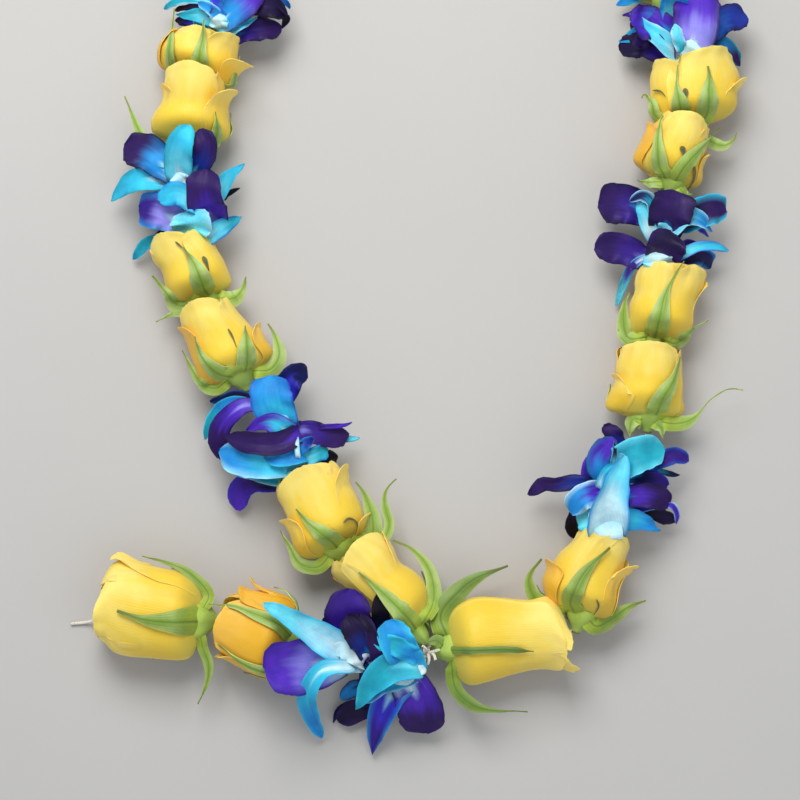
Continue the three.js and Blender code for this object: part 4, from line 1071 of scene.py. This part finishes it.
calyxShape = {
    "columns": 9, "rows": 30, "thickness": 0.45, "sepal": (0.14, 0.13, 0.35 * mm), "slit": (0.05, 0, 0),
    # the slit sheets' colour: sepal green darkened to about a third, as painted shade
    "slitShade": (0.34, 0.24, 0.4), "sides": 40, "lobes": 0.06, "neck": 3, "cupLength": 8,
    "leastHalf": 9, "clear": 1.6, "gap": 1.7, "slitGap": 1.3, "bulge": 1.2, "rootRise": 0.9, "rootRun": 18,
    "rootStep": 2.5, "flatPoints": 40, "points": 24, "underPoints": 16, "slitPoints": 12,
    "underStart": 2.4, "underRoot": 6.6, "underGap": 1.65, "underTurn": 12,
    "hip": [  # place along the strand, radius at its neck, share of the way from there to the cup's radius
        (-2.5, 0.4, 0), (-2.4, 1.7, 0), (-1.5, 2.1, 0), (-0.6, 2.5, 0), (0.6, 3, 0.12), (2, 3, 0.34),
        (3.6, 3, 0.58), (5.4, 3, 0.8), (7.4, 3, 0.96), (8.8, 3, 1), (8.2, 3, 0.86), (5.8, 0.5, 0),
    ],
}


def budAt(rose, along):  # half width, half height, shift and rise of the bud, for places along it
    shape = roseShape
    stations, halves, sways = np.array(outlineOf(rose), float).T
    spot = np.clip((along - shape["base"]) / (rose["length"] - shape["base"]), 0, 1)
    half = np.interp(spot, stations, halves)
    crestRun = shape["crestFull"] - shape["crestFrom"]
    crested = smooth(np.clip((spot / shape["past"] - shape["crestFrom"]) / crestRun, 0, 1))
    tall = (half / halves.max() * (1 - crested) + rose["crest"] * crested) * rose["tall"] / 2
    sloped = smooth(np.clip((along - shape["base"]) / shape["slope"], 0, 1))
    tall = tall * (shape["footHeight"] + (1 - shape["footHeight"]) * sloped)
    return half, tall, np.interp(spot, stations, sways), rose["pitch"] * (spot - shape["pitchMiddle"])


def overBud(rose, flat):  # how far out across the bud each place is: 0 over its middle, 1 clear of its side
    half, tall, sway, rise = budAt(rose, flat[:, 1])
    outside = np.abs(flat[:, 0] - sway) / (np.maximum(half, calyxShape["leastHalf"]) + calyxShape["clear"])
    return outside, tall, sway, rise


def sepalWidths(share, width, belly, tail=1.0):  # widest at the belly, and only a thread past the tail
    taper = 0.9 * smooth(np.clip((tail - share) / (tail - belly), 0, 1)) + 0.1
    thread = 1 - 0.6 * np.clip((share - tail) / (1.001 - tail), 0, 1)
    root = 1 + 0.25 * np.clip(1 - share / 0.16, 0, 1) ** 1.5
    root = root * (0.35 + 0.65 * np.clip(share / 0.07, 0, 1) ** 0.5)
    return width * taper * thread * root


def bowlOf(rose):  # the cup's radius
    return rose["bowl"] * budAt(rose, rose["length"] * 0.16 + roseShape["base"])[0]


# An upper sepal lies on the bud where its route crosses it, and stands level with the bud's middle beyond.
def upperSepal(rose, sepal, dice):
    width, belly, route, *tail = sepal
    shape = calyxShape
    count = shape["points"]
    start = min(rose["rim"], route[0][1] + shape["rootStep"])
    around = shape["neck"] + (bowlOf(rose) - shape["neck"]) * start / shape["cupLength"]  # the cup's radius
    root = np.clip(route[0][0] * 0.4, -0.8 * around, 0.8 * around)
    flat = smoothRoute([(root, start), *route], shape["flatPoints"])
    outside, tall, _, rise = overBud(rose, flat)
    cover = np.sqrt(np.clip(1 - outside ** 2, 0, 1))
    rest = dice.uniform(-3, 2) * np.linspace(0, 1, len(flat)) ** 2
    level = tall * cover + shape["gap"] + shape["bulge"] * cover + rise
    level = level + np.clip(1.2 - flat[:, 1] / shape["rootRun"], 0, shape["rootRise"])
    points = np.column_stack([flat, level + rest * (1 - cover)])
    points[0, 2] = math.sqrt(around ** 2 - root ** 2) * 0.85
    points = smoothRoute(points[::3], count)
    outside = np.interp(np.linspace(0, 1, count), np.linspace(0, 1, len(flat)), outside)
    slope = np.minimum(outside / np.sqrt(1 - np.minimum(outside, 0.8) ** 2), 1) * 0.85
    lean = np.sign(points[:, 0]) * slope * np.clip((1.25 - outside) / 0.4, 0, 1)
    climb = budAt(rose, points[:, 1] + 0.5)[1] - budAt(rose, points[:, 1] - 0.5)[1]
    normal = np.stack([lean, -climb * np.clip(1.2 - outside, 0, 1), np.ones(count)], 1)
    across = unit(np.cross(normal, np.gradient(points, axis=0) * (1, 1, 0.35)))
    wide = sepalWidths(np.linspace(0, 1, count), width, belly, *tail)
    return bladeRib(points, across, wide, shape["sepal"], dice, [rose["green"]] * 4)


def lowerSepal(rose, sepal, dice):  # follows the bud's side or underside, at an angle round it
    angle, reach, lift, width = sepal
    share = np.linspace(0, 1, calyxShape["underPoints"])
    along = calyxShape["underStart"] + (calyxShape["underRoot"] + reach - calyxShape["underStart"]) * share
    half, tall, sway, rise = budAt(rose, along)
    stand = calyxShape["underGap"] + lift * share ** 1.2
    twist = dice.uniform(-calyxShape["underTurn"], calyxShape["underTurn"])
    bend = math.radians(angle) + math.radians(twist) * share ** 2
    points = np.stack([np.cos(bend) * (half + stand) + sway, along, np.sin(bend) * (tall + stand) + rise], 1)
    across = np.stack([-np.sin(bend), 0 * bend, np.cos(bend)], 1)
    wide = sepalWidths(share, width, 0.3)
    return bladeRib(points, across, wide, calyxShape["sepal"], dice, [rose["green"]] * 4)


def slitBlade(rose, slit, dice):  # painted shade: a small dark sheet that shows between the petals, for the shade in their gap
    width, route = slit
    count = calyxShape["slitPoints"]
    points = smoothRoute([(*spot, 0) for spot in route], count)
    outside, tall, sway, rise = overBud(rose, points)
    outside = np.minimum(outside, 0.95)
    cover = np.sqrt(1 - outside ** 2)
    points[:, 2] = tall * cover + calyxShape["slitGap"] + calyxShape["bulge"] * cover + rise
    tilt = np.sign(points[:, 0] - sway) * outside / cover
    along = np.gradient(points[:, :2], axis=0)
    across = unit(np.stack([along[:, 1], -along[:, 0], -tilt * along[:, 1]], 1))
    wide = width * np.interp(np.linspace(0, 1, count), (0, 0.12, 0.3, 0.6, 1), (0.3, 0.9, 1, 0.55, 0.1))
    return bladeRib(points, across, wide, calyxShape["slit"], dice, [calyxShape["slitShade"]] * 4)


def calyx(name, rose):
    dice = random.Random(name + "sepals")
    ribs = [upperSepal(rose, sepal, dice) for sepal in rose["sepals"]]
    ribs += [lowerSepal(rose, sepal, dice) for sepal in rose["under"]]
    ribs += [slitBlade(rose, slit, dice) for slit in rose["slits"]]
    profile = [(along, neck + (bowlOf(rose) - neck) * share) for along, neck, share in calyxShape["hip"]]
    piece = bladed(name, ribs, "sepal", calyxShape, profile, "hip")
    settle(piece, name + "_calyx", frames[name])


for name, rose in roses.items():
    calyx(name, rose)
print("calyxes ready:", len(roses))

# Orchid blossoms. Each petal of a blossom has its style and the colours of foot, middle, tip and rim, its
# width, and its route [right, ahead, up] in mm. The colours are the dye, and navy, night and black are partly
# dark dye and partly painted shade on petals that lie low beneath the blossom.

# dye colours; navy, night and black are partly the blossoms' dark dye and partly painted shade on petals
# lying low under a blossom
dyesAndShade = {
    "ice": (192, 234, 247), "pale": (154, 220, 247), "aqua": (102, 214, 239), "cyan": (52, 190, 229),
    "teal": (30, 162, 186), "azure": (30, 140, 216), "blue": (22, 88, 184), "royal": (52, 44, 196),
    "deep": (22, 44, 140), "navy": (12, 22, 80), "lilac": (146, 140, 234), "violet": (76, 38, 180),
    "purple": (50, 24, 128), "plum": (40, 14, 82), "night": (22, 8, 52), "black": (9, 5, 20),
    "white": (212, 232, 240), "peacock": (10, 98, 138),
}
orchidShape = {
    "points": 18, "tilt": 14, "columns": 15, "rows": 28, "thickness": 0.35, "sides": 20, "lobes": 0.08,
    "heartLength": 8.5,
    "heart": [(-1, 0.3), (-0.9, 1.5), (0.5, 2.2), (3, 2.9), (5.5, 2.6), (7.5, 2), (8.3, 1.2), (8.5, 0.3)],
}
petalStyles = {  # cup, ruffle, then how wide the petal is along its length
    "fan": (0.26, 2, [(0, 0.4), (0.14, 0.54), (0.32, 0.78), (0.5, 0.95), (0.68, 1), (0.83, 0.95),
        (0.93, 0.74), (0.98, 0.46), (1, 0.2)]),
    "round": (0.26, 1.2, [(0, 0.4), (0.14, 0.6), (0.3, 0.86), (0.48, 0.99), (0.65, 1), (0.8, 0.93),
        (0.9, 0.78), (0.97, 0.5), (1, 0.16)]),
    "strap": (0.36, 1, [(0, 0.5), (0.18, 0.74), (0.4, 0.97), (0.6, 1), (0.78, 0.9), (0.9, 0.68),
        (0.97, 0.4), (1, 0.12)]),
    "tongue": (0.36, 1, [(0, 0.6), (0.15, 0.86), (0.3, 1), (0.46, 0.96), (0.62, 0.74), (0.78, 0.56),
        (0.92, 0.4), (1, 0.1)]),
    "pointed": (0.38, 1.1, [(0, 0.5), (0.18, 0.8), (0.36, 1), (0.5, 0.97), (0.66, 0.8), (0.82, 0.52),
        (0.93, 0.25), (1, 0.04)]),
    "lip": (-0.1, 2.4, [(0, 0.36), (0.2, 0.62), (0.45, 0.86), (0.62, 0.9), (0.78, 1), (0.9, 0.86),
        (0.97, 0.5), (1, 0.16)]),
}
orchids = {
    "orchid_07_upper": [
        ("tongue ice pale aqua cyan", 14.5, (2, 4.5, 8), (8.5, 21, 17), (15.5, 39, 24), (17.5, 48, 22)),
        ("fan ice lilac violet purple", 26, (-2.5, 9, 6), (-5.5, 21, 11), (-8, 31.5, 18), (-12, 41.5, 16)),
        ("strap ice cyan azure cyan", 8.5, (-2.5, 4.5, 12), (-6.5, 17, 18), (-19, 21, 12), (-30, 17, 0),
         (-39.5, 10.5, -12)),
        ("round lilac violet purple plum", 21, (5, 6.5, 6), (12.5, 10, 8), (22.5, 11, 15), (31.5, 11, 15)),
        ("fan azure deep night black", 12.5, (4, -2.5, 9), (10.5, 2.5, 16), (15, 6.5, 18), (19.5, 11, 17)),
        ("strap violet plum night plum", 6, (4, -5.5, 14), (11, -3, 18), (17, 0, 19), (22, 5, 18)),
        ("strap royal navy black black", 9, (9, -9.5, 3), (16.5, -6, 9), (25, -3, 15), (31.5, -0.5, 16)),
        ("fan white white ice ice", 9, (0.5, -1, 9), (3, 4.5, 12), (3.5, 10.5, 13), (1, 13, 12)),
        ("lip white ice aqua ice", 10, (-1.5, 0, 7), (-1.5, 6, 10), (-3.5, 10.5, 10), (-6.5, 13.5, 8)),
        ("strap deep navy azure navy", 8, (-10, -4, -4), (-13.5, 0.5, -7), (-17, 3.5, -9), (-20.5, 6, -11)),
        ("fan azure navy night plum", 12, (-11, -14, -6), (-19.5, -7, -9), (-25.5, -0.5, -11),
         (-30.5, 5.5, -13)),
        ("strap black night navy black", 4, (-18.5, -9, -8), (-21, -1, -11), (-25.5, 5.5, -13),
         (-32, 7, -14)),
    ],
    "orchid_07_lower": [
        ("pointed aqua teal teal cyan", 14, (1, 0.5, 11), (0, 11.5, 15), (-9, 20, 12), (-22, 25.5, 4)),
        ("fan cyan azure azure cyan", 16, (-1.5, 0, 8), (6.5, 7.5, 15), (13.5, 12, 18), (20.5, 15, 17)),
        ("strap aqua cyan azure pale", 7, (-4.5, 0.5, 4), (-8, 8.5, 7), (-11, 15.5, 6), (-19, 22, 2)),
        ("pointed pale royal purple azure", 13, (-7, 4, 1), (-15, 11, 3), (-28, 15, -4), (-43.5, 16.5, -13)),
        ("round ice violet plum plum", 21, (-5, 6, 5), (-11.5, 0.5, 4), (-20, -3.5, 0), (-31, -6.5, -8)),
        ("lip ice white ice pale", 8, (1, -3, 8), (-1.5, 1.5, 11), (-5.5, 6.5, 11), (-7, 10.5, 9)),
        ("fan cyan azure teal cyan", 9, (4.5, 0, 10), (7, 5.5, 16), (10, 12, 18), (10, 20.5, 17)),
        ("pointed azure royal navy deep", 8, (14, 11.5, 1), (18, 13, 3), (22, 13, 4), (22.5, 16, 4)),
    ],
    "orchid_06_upper": [
        ("round aqua teal teal aqua", 16, (-9, 1.5, 6), (-6.5, 6, 12), (-0.5, 12.5, 14), (9.5, 19, 8)),
        ("strap azure purple purple blue", 8, (5.5, 10.5, 3), (11, 14.5, 5), (15.5, 18, 4), (22.5, 18, 1)),
        ("fan azure navy purple royal", 8, (-3, -0.5, 2), (4, 3.5, 3), (11, 4.5, 2), (18, 4, -2)),
        ("strap aqua teal night peacock", 3, (9, 7.5, 0), (13.5, 9, -1), (18, 9.5, -2), (21.5, 10.5, -4)),
        ("fan aqua deep plum night", 8.5, (-6, 9.5, 1), (-10.5, 14, 4), (-14.5, 17, 6), (-19.5, 18.5, 5)),
        ("fan aqua azure violet peacock", 11.5, (-9.5, -2, 8), (-15, 1, 11), (-16.5, 6.5, 12), (-13, 15, 13)),
        ("strap violet violet purple violet", 9, (-9, -7.5, 2), (-15, -6, 4), (-18, -1, 5), (-18, 6, 3)),
        ("strap white ice cyan teal", 3.6, (-10.5, -8, 11), (-12.5, -2.5, 14), (-11.5, 2, 15), (-8.5, 5, 13)),
        ("strap white aqua night aqua", 3, (-9, 4, 13), (-10.5, 8, 14), (-11.5, 11, 14), (-13, 14, 13)),
        ("lip white ice aqua ice", 8, (-3.5, 3.5, 9), (-7, 5, 12), (-8.5, 7.5, 13), (-10, 9.5, 13)),
    ],
    "orchid_06_lower": [
        ("tongue ice ice aqua azure", 19, (-1, 2, 9), (-4.5, 11.5, 17), (-6, 22.5, 19), (-6.5, 36.5, 18)),
        ("fan azure violet plum night", 11.5, (-2.5, 16, 6), (4.5, 21.5, 9), (13.5, 24.5, 7),
         (21.5, 23.5, 2)),
        ("fan navy black night black", 7, (11, 16.5, -1), (17, 17.5, -2), (23, 17.5, -4), (28, 17.5, -6)),
        ("strap purple royal violet pale", 3.6, (19.5, 22.5, 2), (23, 23.5, 3), (26.5, 20.5, 0),
         (28, 16.5, -3)),
        ("pointed ice cyan azure azure", 10, (0, 5, 6), (6, 10.5, 8), (13, 12, 5), (22, 11, 1)),
        ("fan ice aqua aqua cyan", 11, (-2.5, 2, 6), (-7, 3.5, 7), (-11.5, 4, 5), (-15.5, 4.5, 2)),
        ("fan lilac violet azure ice", 12, (-8.5, 17, 7), (-14.5, 14.5, 10), (-18, 10, 10), (-18.5, 3.5, 7)),
        ("strap violet plum black night", 7.5, (-13.5, 9, 2), (-15.5, 3.5, 0), (-15.5, -1.5, -4),
         (-12, -6.5, -8)),
        ("fan azure deep plum night", 7, (-11, 19, 4), (-20, 18, 5), (-29.5, 13, 4), (-35, 10.5, 2),
         (-39, 4, 0)),
        ("lip white ice pale ice", 15, (1, -1, 14), (-4.5, 7.5, 13), (-6.5, 12, 12), (-9, 14, 10)),
    ],
    "orchid_05_upper": [
        ("fan azure plum plum night", 20, (2, 3.5, 9), (2, 10, 14), (2.5, 15.5, 15), (2, 21.5, 12)),
        ("fan azure purple plum night", 18.5, (-4.5, 9, 3), (-15.5, 11, 5), (-22, 10.5, 2), (-29, 9, -3)),
        ("fan azure night plum cyan", 14, (8.5, 9, 5), (15.5, 14.5, 7), (21, 18, 6), (27.5, 19.5, 1)),
        ("strap aqua cyan navy pale", 6, (-4, 9.5, 12), (-8, 14, 15), (-12, 15.5, 15), (-16.5, 12, 13)),
        ("strap white ice aqua cyan", 7, (-1.5, -1.5, 9), (-6.5, 4, 12), (-9.5, 8.5, 13), (-13, 12.5, 12)),
        ("pointed ice aqua azure pale", 10, (3.5, 3, 8), (8.5, 10.5, 11), (15.5, 12, 10), (23.5, 8, 4)),
        ("lip white ice aqua ice", 9, (1, 0, 8), (1.5, 3.5, 11), (1.5, 6.5, 12), (0.5, 9, 11)),
        ("strap royal violet violet cyan", 3, (15.5, 9, 1), (18.5, 8, 0), (20.5, 7.5, -1), (23, 6, -3)),
        ("strap violet violet azure cyan", 4.5, (-13.5, 17, 2), (-17, 13.5, 3), (-18.5, 9.5, 3),
         (-17, 5.5, 1)),
    ],
    "orchid_05_lower": [
        ("fan aqua plum night plum", 17.5, (-2, 2.5, 9), (0.5, 5.5, 15), (2.5, 8, 17), (6, 11, 15)),
        ("fan lilac purple plum plum", 14.5, (-7.5, 3.5, 3), (-14.5, 10.5, 4), (-20.5, 14.5, 2),
         (-27.5, 17.5, -2)),
        ("strap ice aqua cyan violet", 5, (-4.5, 2.5, 9), (3.5, 0.5, 10), (14.5, 1.5, 9), (22.5, -1, 7),
         (28, -5, 3)),
        ("fan deep night navy azure", 8.5, (8.5, -2, 1), (14.5, -2.5, 0), (18.5, -5, -4), (19, -9.5, -8)),
        ("pointed purple plum night royal", 6, (7, 3, 6), (10, 4, 6), (13, 4, 5), (16.5, 2.5, 3)),
        ("strap ice violet aqua cyan", 4.2, (-9, 5, 5), (-15.5, 3, 2), (-20.5, -2.5, -6), (-26.5, -11, -13)),
        ("strap aqua teal teal cyan", 5, (-3, 2.5, 4), (-6.5, 2.5, 4), (-9, 2, 2), (-11.5, 1, 0)),
        ("lip ice aqua ice aqua", 17, (-3.5, -2.5, 8), (-3, 0.5, 11), (-3, 2.5, 12), (-2, 5, 12)),
    ],
    "orchid_03_upper": [
        ("fan ice cyan azure blue", 19, (0.5, 1.5, 8), (3.5, 11.5, 14), (6.5, 18, 16), (12, 24, 13)),
        ("fan azure royal navy navy", 12, (10.5, 13.5, 1), (15.5, 16.5, 4), (20, 18, 4), (22.5, 12.5, 0)),
        ("strap blue azure teal cyan", 5, (-4.5, 22, 4), (-11, 28, 5), (-21.5, 27.5, 2), (-30, 22.5, -3)),
        ("fan lilac violet plum plum", 9.5, (-4.5, 21, 8), (-12.5, 23, 9), (-22, 21, 5), (-31, 12, -2)),
        ("strap deep night navy blue", 5, (-2.5, 22, 1), (-5.5, 27.5, 2), (-11.5, 30.5, 1), (-17, 34, -2)),
        ("pointed ice cyan violet violet", 10.5, (1, -0.5, 12), (-1, 7.5, 15), (-5.5, 11, 15),
         (-12.5, 13, 12)),
        ("strap violet plum plum night", 10.5, (5, -3, 11), (-4.5, -1.5, 15), (-13.5, 6, 15), (-21.5, 17, 9)),
        ("fan lilac purple plum plum", 11, (1.5, 0.5, 6), (7.5, -5, 8), (12.5, -12.5, 6), (20, -19, 1)),
        ("strap teal teal aqua peacock", 4, (15, -15.5, -1), (17.5, -18.5, -1), (20, -21, -2), (23, -23, -3)),
        ("strap purple plum violet purple", 2.5, (13.5, -8, 7), (18, -11.5, 6), (21.5, -14, 5),
         (25, -15.5, 4)),
        ("lip white ice cyan ice", 8, (0, -1, 9), (1, 3, 12), (2, 5.5, 13), (2.5, 8, 12)),
    ],
    "orchid_03_lower": [
        ("fan aqua cyan azure pale", 14.5, (0.5, 4.5, 8), (-13.5, 10.5, 12), (-23.5, 16.5, 10),
         (-31, 23.5, 5)),
        ("pointed cyan azure azure cyan", 10, (3.5, 10, 11), (-3.5, 10, 14), (-9, 10.5, 14),
         (-13.5, 13.5, 12)),
        ("fan royal night violet royal", 11, (-11.5, 0.5, -1), (-20.5, 4.5, -4), (-29, 4, -7),
         (-34, -5, -11)),
        ("strap white white ice cyan", 2.6, (1, 8, 14), (2, 11.5, 15), (3, 14, 15), (4.5, 16.5, 14)),
        ("fan ice azure deep azure", 5.5, (2.5, 10.5, 12), (6, 12.5, 13), (8, 13, 12), (10, 13, 9)),
        ("fan aqua aqua teal blue", 8, (-1.5, 5.5, 7), (6, 6, 9), (11, 6.5, 8), (14.5, 6.5, 4)),
        ("fan azure navy black night", 6.5, (8, 5, 1), (11.5, 4.5, 0), (14, 2.5, -2), (15.5, -0.5, -6)),
        ("strap aqua teal cyan pale", 8, (0, 1.5, 4), (-11, 2.5, 4), (-20.5, 9, 3), (-31, 14.5, -1)),
        ("lip ice aqua cyan aqua", 12, (1.5, 3, 9), (-2.5, 7, 11), (-6, 8.5, 12), (-11.5, 9, 11)),
    ],
    "orchid_02_upper": [
        ("strap ice aqua cyan teal", 13, (0, 1.5, 9), (-3.5, 10.5, 19), (-4.5, 17.5, 23), (-3.5, 25, 22)),
        ("fan aqua deep plum night", 12.5, (2, 3, 7), (5.5, 11.5, 15), (5.5, 18.5, 20), (1, 25.5, 20)),
        ("fan ice azure plum night", 17, (-3.5, 2.5, 7), (-13.5, 6, 9), (-20, 7, 7), (-29.5, 5.5, 3)),
        ("pointed ice cyan cyan teal", 11, (-2, 0, 6), (-14.5, -4, 8), (-21.5, -10, 4), (-26, -19, -4)),
        ("pointed ice aqua cyan cyan", 9.5, (15.5, 0, 1), (18, 7.5, 1), (19.5, 13.5, 0), (23, 20, -3)),
        ("strap azure navy black night", 3, (18, 1.5, -5), (20.5, 4.5, -7), (22.5, 7, -8), (24.5, 9.5, -9)),
        ("lip white white ice ice", 9, (2.5, -1.5, 9), (1, 0.5, 12), (0, 2, 13), (-1.5, 4, 13)),
    ],
    "orchid_02_lower": [
        ("round lilac violet plum plum", 17, (10.5, 5.5, 2), (11, 12.5, 15), (11.5, 19.5, 18), (14, 27, 16)),
        ("fan violet purple plum night", 7, (9.5, 17, 10), (8, 20, 11), (6, 22.5, 12), (4, 24.5, 12)),
        ("fan ice aqua cyan azure", 10.5, (5.5, 13, 12), (0.5, 18, 15), (-3.5, 19, 15), (-9.5, 17, 12)),
        ("fan ice lilac purple azure", 16.5, (-2.5, 7, 5), (-9.5, 12, 7), (-14, 14.5, 7), (-20, 16.5, 3)),
        ("fan ice aqua aqua pale", 19, (1, 0.5, 6), (1.5, 3, 9), (2.5, 5.5, 12), (2.5, 10.5, 11)),
        ("pointed ice aqua teal blue", 9, (6, -1.5, 4), (13.5, 0.5, 6), (19.5, 2.5, 4), (24.5, 4.5, 0)),
        ("strap aqua teal teal cyan", 5.5, (-8.5, 1.5, -1), (-18, 1.5, -3), (-23, -0.5, -7),
         (-28, -4.5, -12)),
        ("strap navy black night navy", 4, (-6.5, 4.5, -2), (-10.5, 4, -4), (-13, 4, -5), (-16.5, 4, -7)),
    ],
    "orchid_01_lower": [
        ("fan ice azure violet plum", 16, (3, 0.5, 9), (8.5, 7, 13), (13.5, 13, 13), (16.5, 21, 9)),
        ("pointed ice aqua cyan pale", 6, (5, -3.5, 8), (11.5, 0.5, 10), (15.5, 3, 9), (19.5, 6.5, 6)),
        ("fan azure purple plum night", 11, (8.5, -3.5, 3), (16, 0, 4), (23, 2.5, 3), (31, 4, -1)),
        ("strap plum night black plum", 5, (23, 11, 5), (29, 10.5, 6), (32.5, 9, 3), (31, 4.5, -1)),
        ("fan violet plum night black", 10, (9.5, 9, 6), (19, 11.5, 8), (26.5, 12, 7), (32.5, 10, 3)),
        ("strap azure teal blue teal", 4, (21.5, 20.5, 3), (27, 17.5, 4), (31, 16, 2), (33, 14, -2)),
        ("pointed ice aqua teal cyan", 7, (3, 2, 6), (-5.5, 3, 8), (-10.5, 2.5, 7), (-16.5, 2, 4)),
        ("fan aqua cyan teal aqua", 7, (0.5, 1.5, 3), (-3.5, 1, 4), (-5.5, -0.5, 3), (-6.5, -3.5, 1)),
        ("strap aqua azure azure pale", 5.5, (3.5, 3, 10), (0, 5.5, 13), (-3, 7, 13), (-7, 8, 11)),
        ("fan ice azure royal azure", 7, (3.5, 3.5, 10), (2.5, 7, 13), (1, 10.5, 14), (-1, 14, 13)),
        ("strap navy night black night", 3, (-6.5, 7.5, 2), (-10.5, 7, 2), (-14, 6, 1), (-18.5, 4.5, -1)),
        ("fan azure royal night navy", 4.5, (-7.5, 0.5, -3), (-11, 0.5, -5), (-14.5, 1, -6),
         (-17.5, 0.5, -8)),
        ("strap aqua teal teal pale", 4, (-9, 10.5, 2), (-14.5, 9.5, 3), (-19, 7.5, 2), (-23, 4.5, -3)),
        ("lip white ice ice aqua", 10, (3.5, -1.5, 9), (3, 1, 12), (3, 2.5, 13), (3, 4.5, 12)),
    ],
    "orchid_04_lower": [
        ("fan white lilac violet plum", 21, (-0.5, -1, 8), (4.5, 6.5, 14), (8.5, 14.5, 15), (14, 23.5, 11)),
        ("fan azure blue deep night", 13, (8, 3.5, 5), (17, 7.5, 7), (23, 8.5, 6), (31.5, 6, 1)),
        ("strap cyan azure plum teal", 7, (7.5, 3, 3), (14, 0.5, 5), (18, -4, 3), (21, -12.5, -5)),
        ("pointed azure violet purple plum", 10.5, (-3, 7.5, 7), (-6.5, 17, 10), (-11, 24, 9),
         (-20.5, 28, 4)),
        ("pointed ice aqua cyan pale", 9.5, (-3.5, 0.5, 6), (-9, 9, 12), (-14, 18, 13), (-18, 27, 10)),
        ("fan violet purple night night", 12.5, (-6.5, 1, 3), (-12, 7.5, 3), (-17, 13, 0), (-26.5, 16, -6)),
        ("strap purple night night plum", 8, (-10.5, 9.5, -2), (-14.5, 15, -3), (-15.5, 20.5, -4),
         (-15, 25.5, -7)),
        ("lip ice cyan aqua white", 6, (-2.5, 0, 7), (-3, 4, 13), (-3, 8.5, 16), (-2, 14.5, 15)),
        ("strap aqua azure azure cyan", 8.5, (11.5, 30.5, -2), (1.5, 33, -1), (-9.5, 34.5, -2),
         (-20, 34.5, -7)),
        ("lip white ice ice pale", 12, (-1.5, -1.5, 9), (0, 1.5, 12), (1, 3.5, 13), (2.5, 6, 13)),
    ],
    # these stand open all round, turned by an angle
    "orchid_01_upper": 24, "orchid_09_lower": -20, "orchid_09_upper": 16, "orchid_04_upper": -14,
    "orchid_08_lower": 18, "orchid_08_upper": -22,
}
openSet = [  # style and colours (dye, the darkest partly painted shade), width, angle round, opening and length of an open blossom's petals
    ("strap ice aqua azure azure", 13, 90, 50, 27), ("fan aqua azure violet plum", 17, 150, 62, 29),
    ("fan ice azure violet purple", 17, 30, 62, 29), ("pointed aqua cyan azure teal", 10, 205, 66, 27),
    ("pointed ice aqua azure cyan", 10, -25, 66, 27), ("lip white ice aqua ice", 9, 62, 22, 15),
    ("lip white ice violet cyan", 8, 118, 24, 14), ("fan azure royal plum night", 8, 178, 76, 22),
]


def openPetals(turn):
    petals = []
    for colours, width, angle, opening, long in openSet:
        around = math.radians(angle + turn)
        spread = math.radians(opening)
        route = []
        for share, bulge in ((0.25, 1.5), (0.6, 3.5), (1, 1)):
            out = math.sin(spread) * long * share
            ahead = math.cos(spread) * long * share + bulge
            route.append((math.cos(around) * out, ahead, math.sin(around) * out))
        petals.append((colours, width, *route))
    return petals


def petalRib(name, petal, dice):
    colours, width, *route = petal
    style, *colours = colours.split()
    cup, ruffle, outline = petalStyles[style]
    count = orchidShape["points"]
    root = (0, min(max(route[0][1], 0.5), columns[name] - 0.5), 1)  # on the column, beside its first point
    flat = smoothRoute(route, count)[:, :2]
    whole = flat[-1] - flat[0]
    ahead = unit(np.gradient(flat, axis=0)) + 0.5 * whole / np.linalg.norm(whole)
    across = unit(np.stack([ahead[:, 1], -ahead[:, 0], 0 * ahead[:, 0]], 1))
    across[:, 2] = math.tan(math.radians(dice.uniform(-orchidShape["tilt"], orchidShape["tilt"])))
    wide = width * np.interp(np.linspace(0, 1, count), *zip(*outline))
    shades = [tint(*dyesAndShade[colour]) for colour in colours]
    return bladeRib(smoothRoute([root, *route], count), across, wide, (cup, 0, ruffle * mm), dice, shades)


def blossom(name, petals):
    dice = random.Random(name)
    if not isinstance(petals, list):
        petals = openPetals(petals)
    ribs = [petalRib(name, petal, dice) for petal in petals]
    length = orchidShape["heartLength"]
    profile = [(along * columns[name] / length, radius) for along, radius in orchidShape["heart"]]
    settle(bladed(name, ribs, "orchid", orchidShape, profile, "heart"), name, frames[name])


for name, petals in orchids.items():
    blossom(name, petals)
print("blossoms ready:", len(orchids))
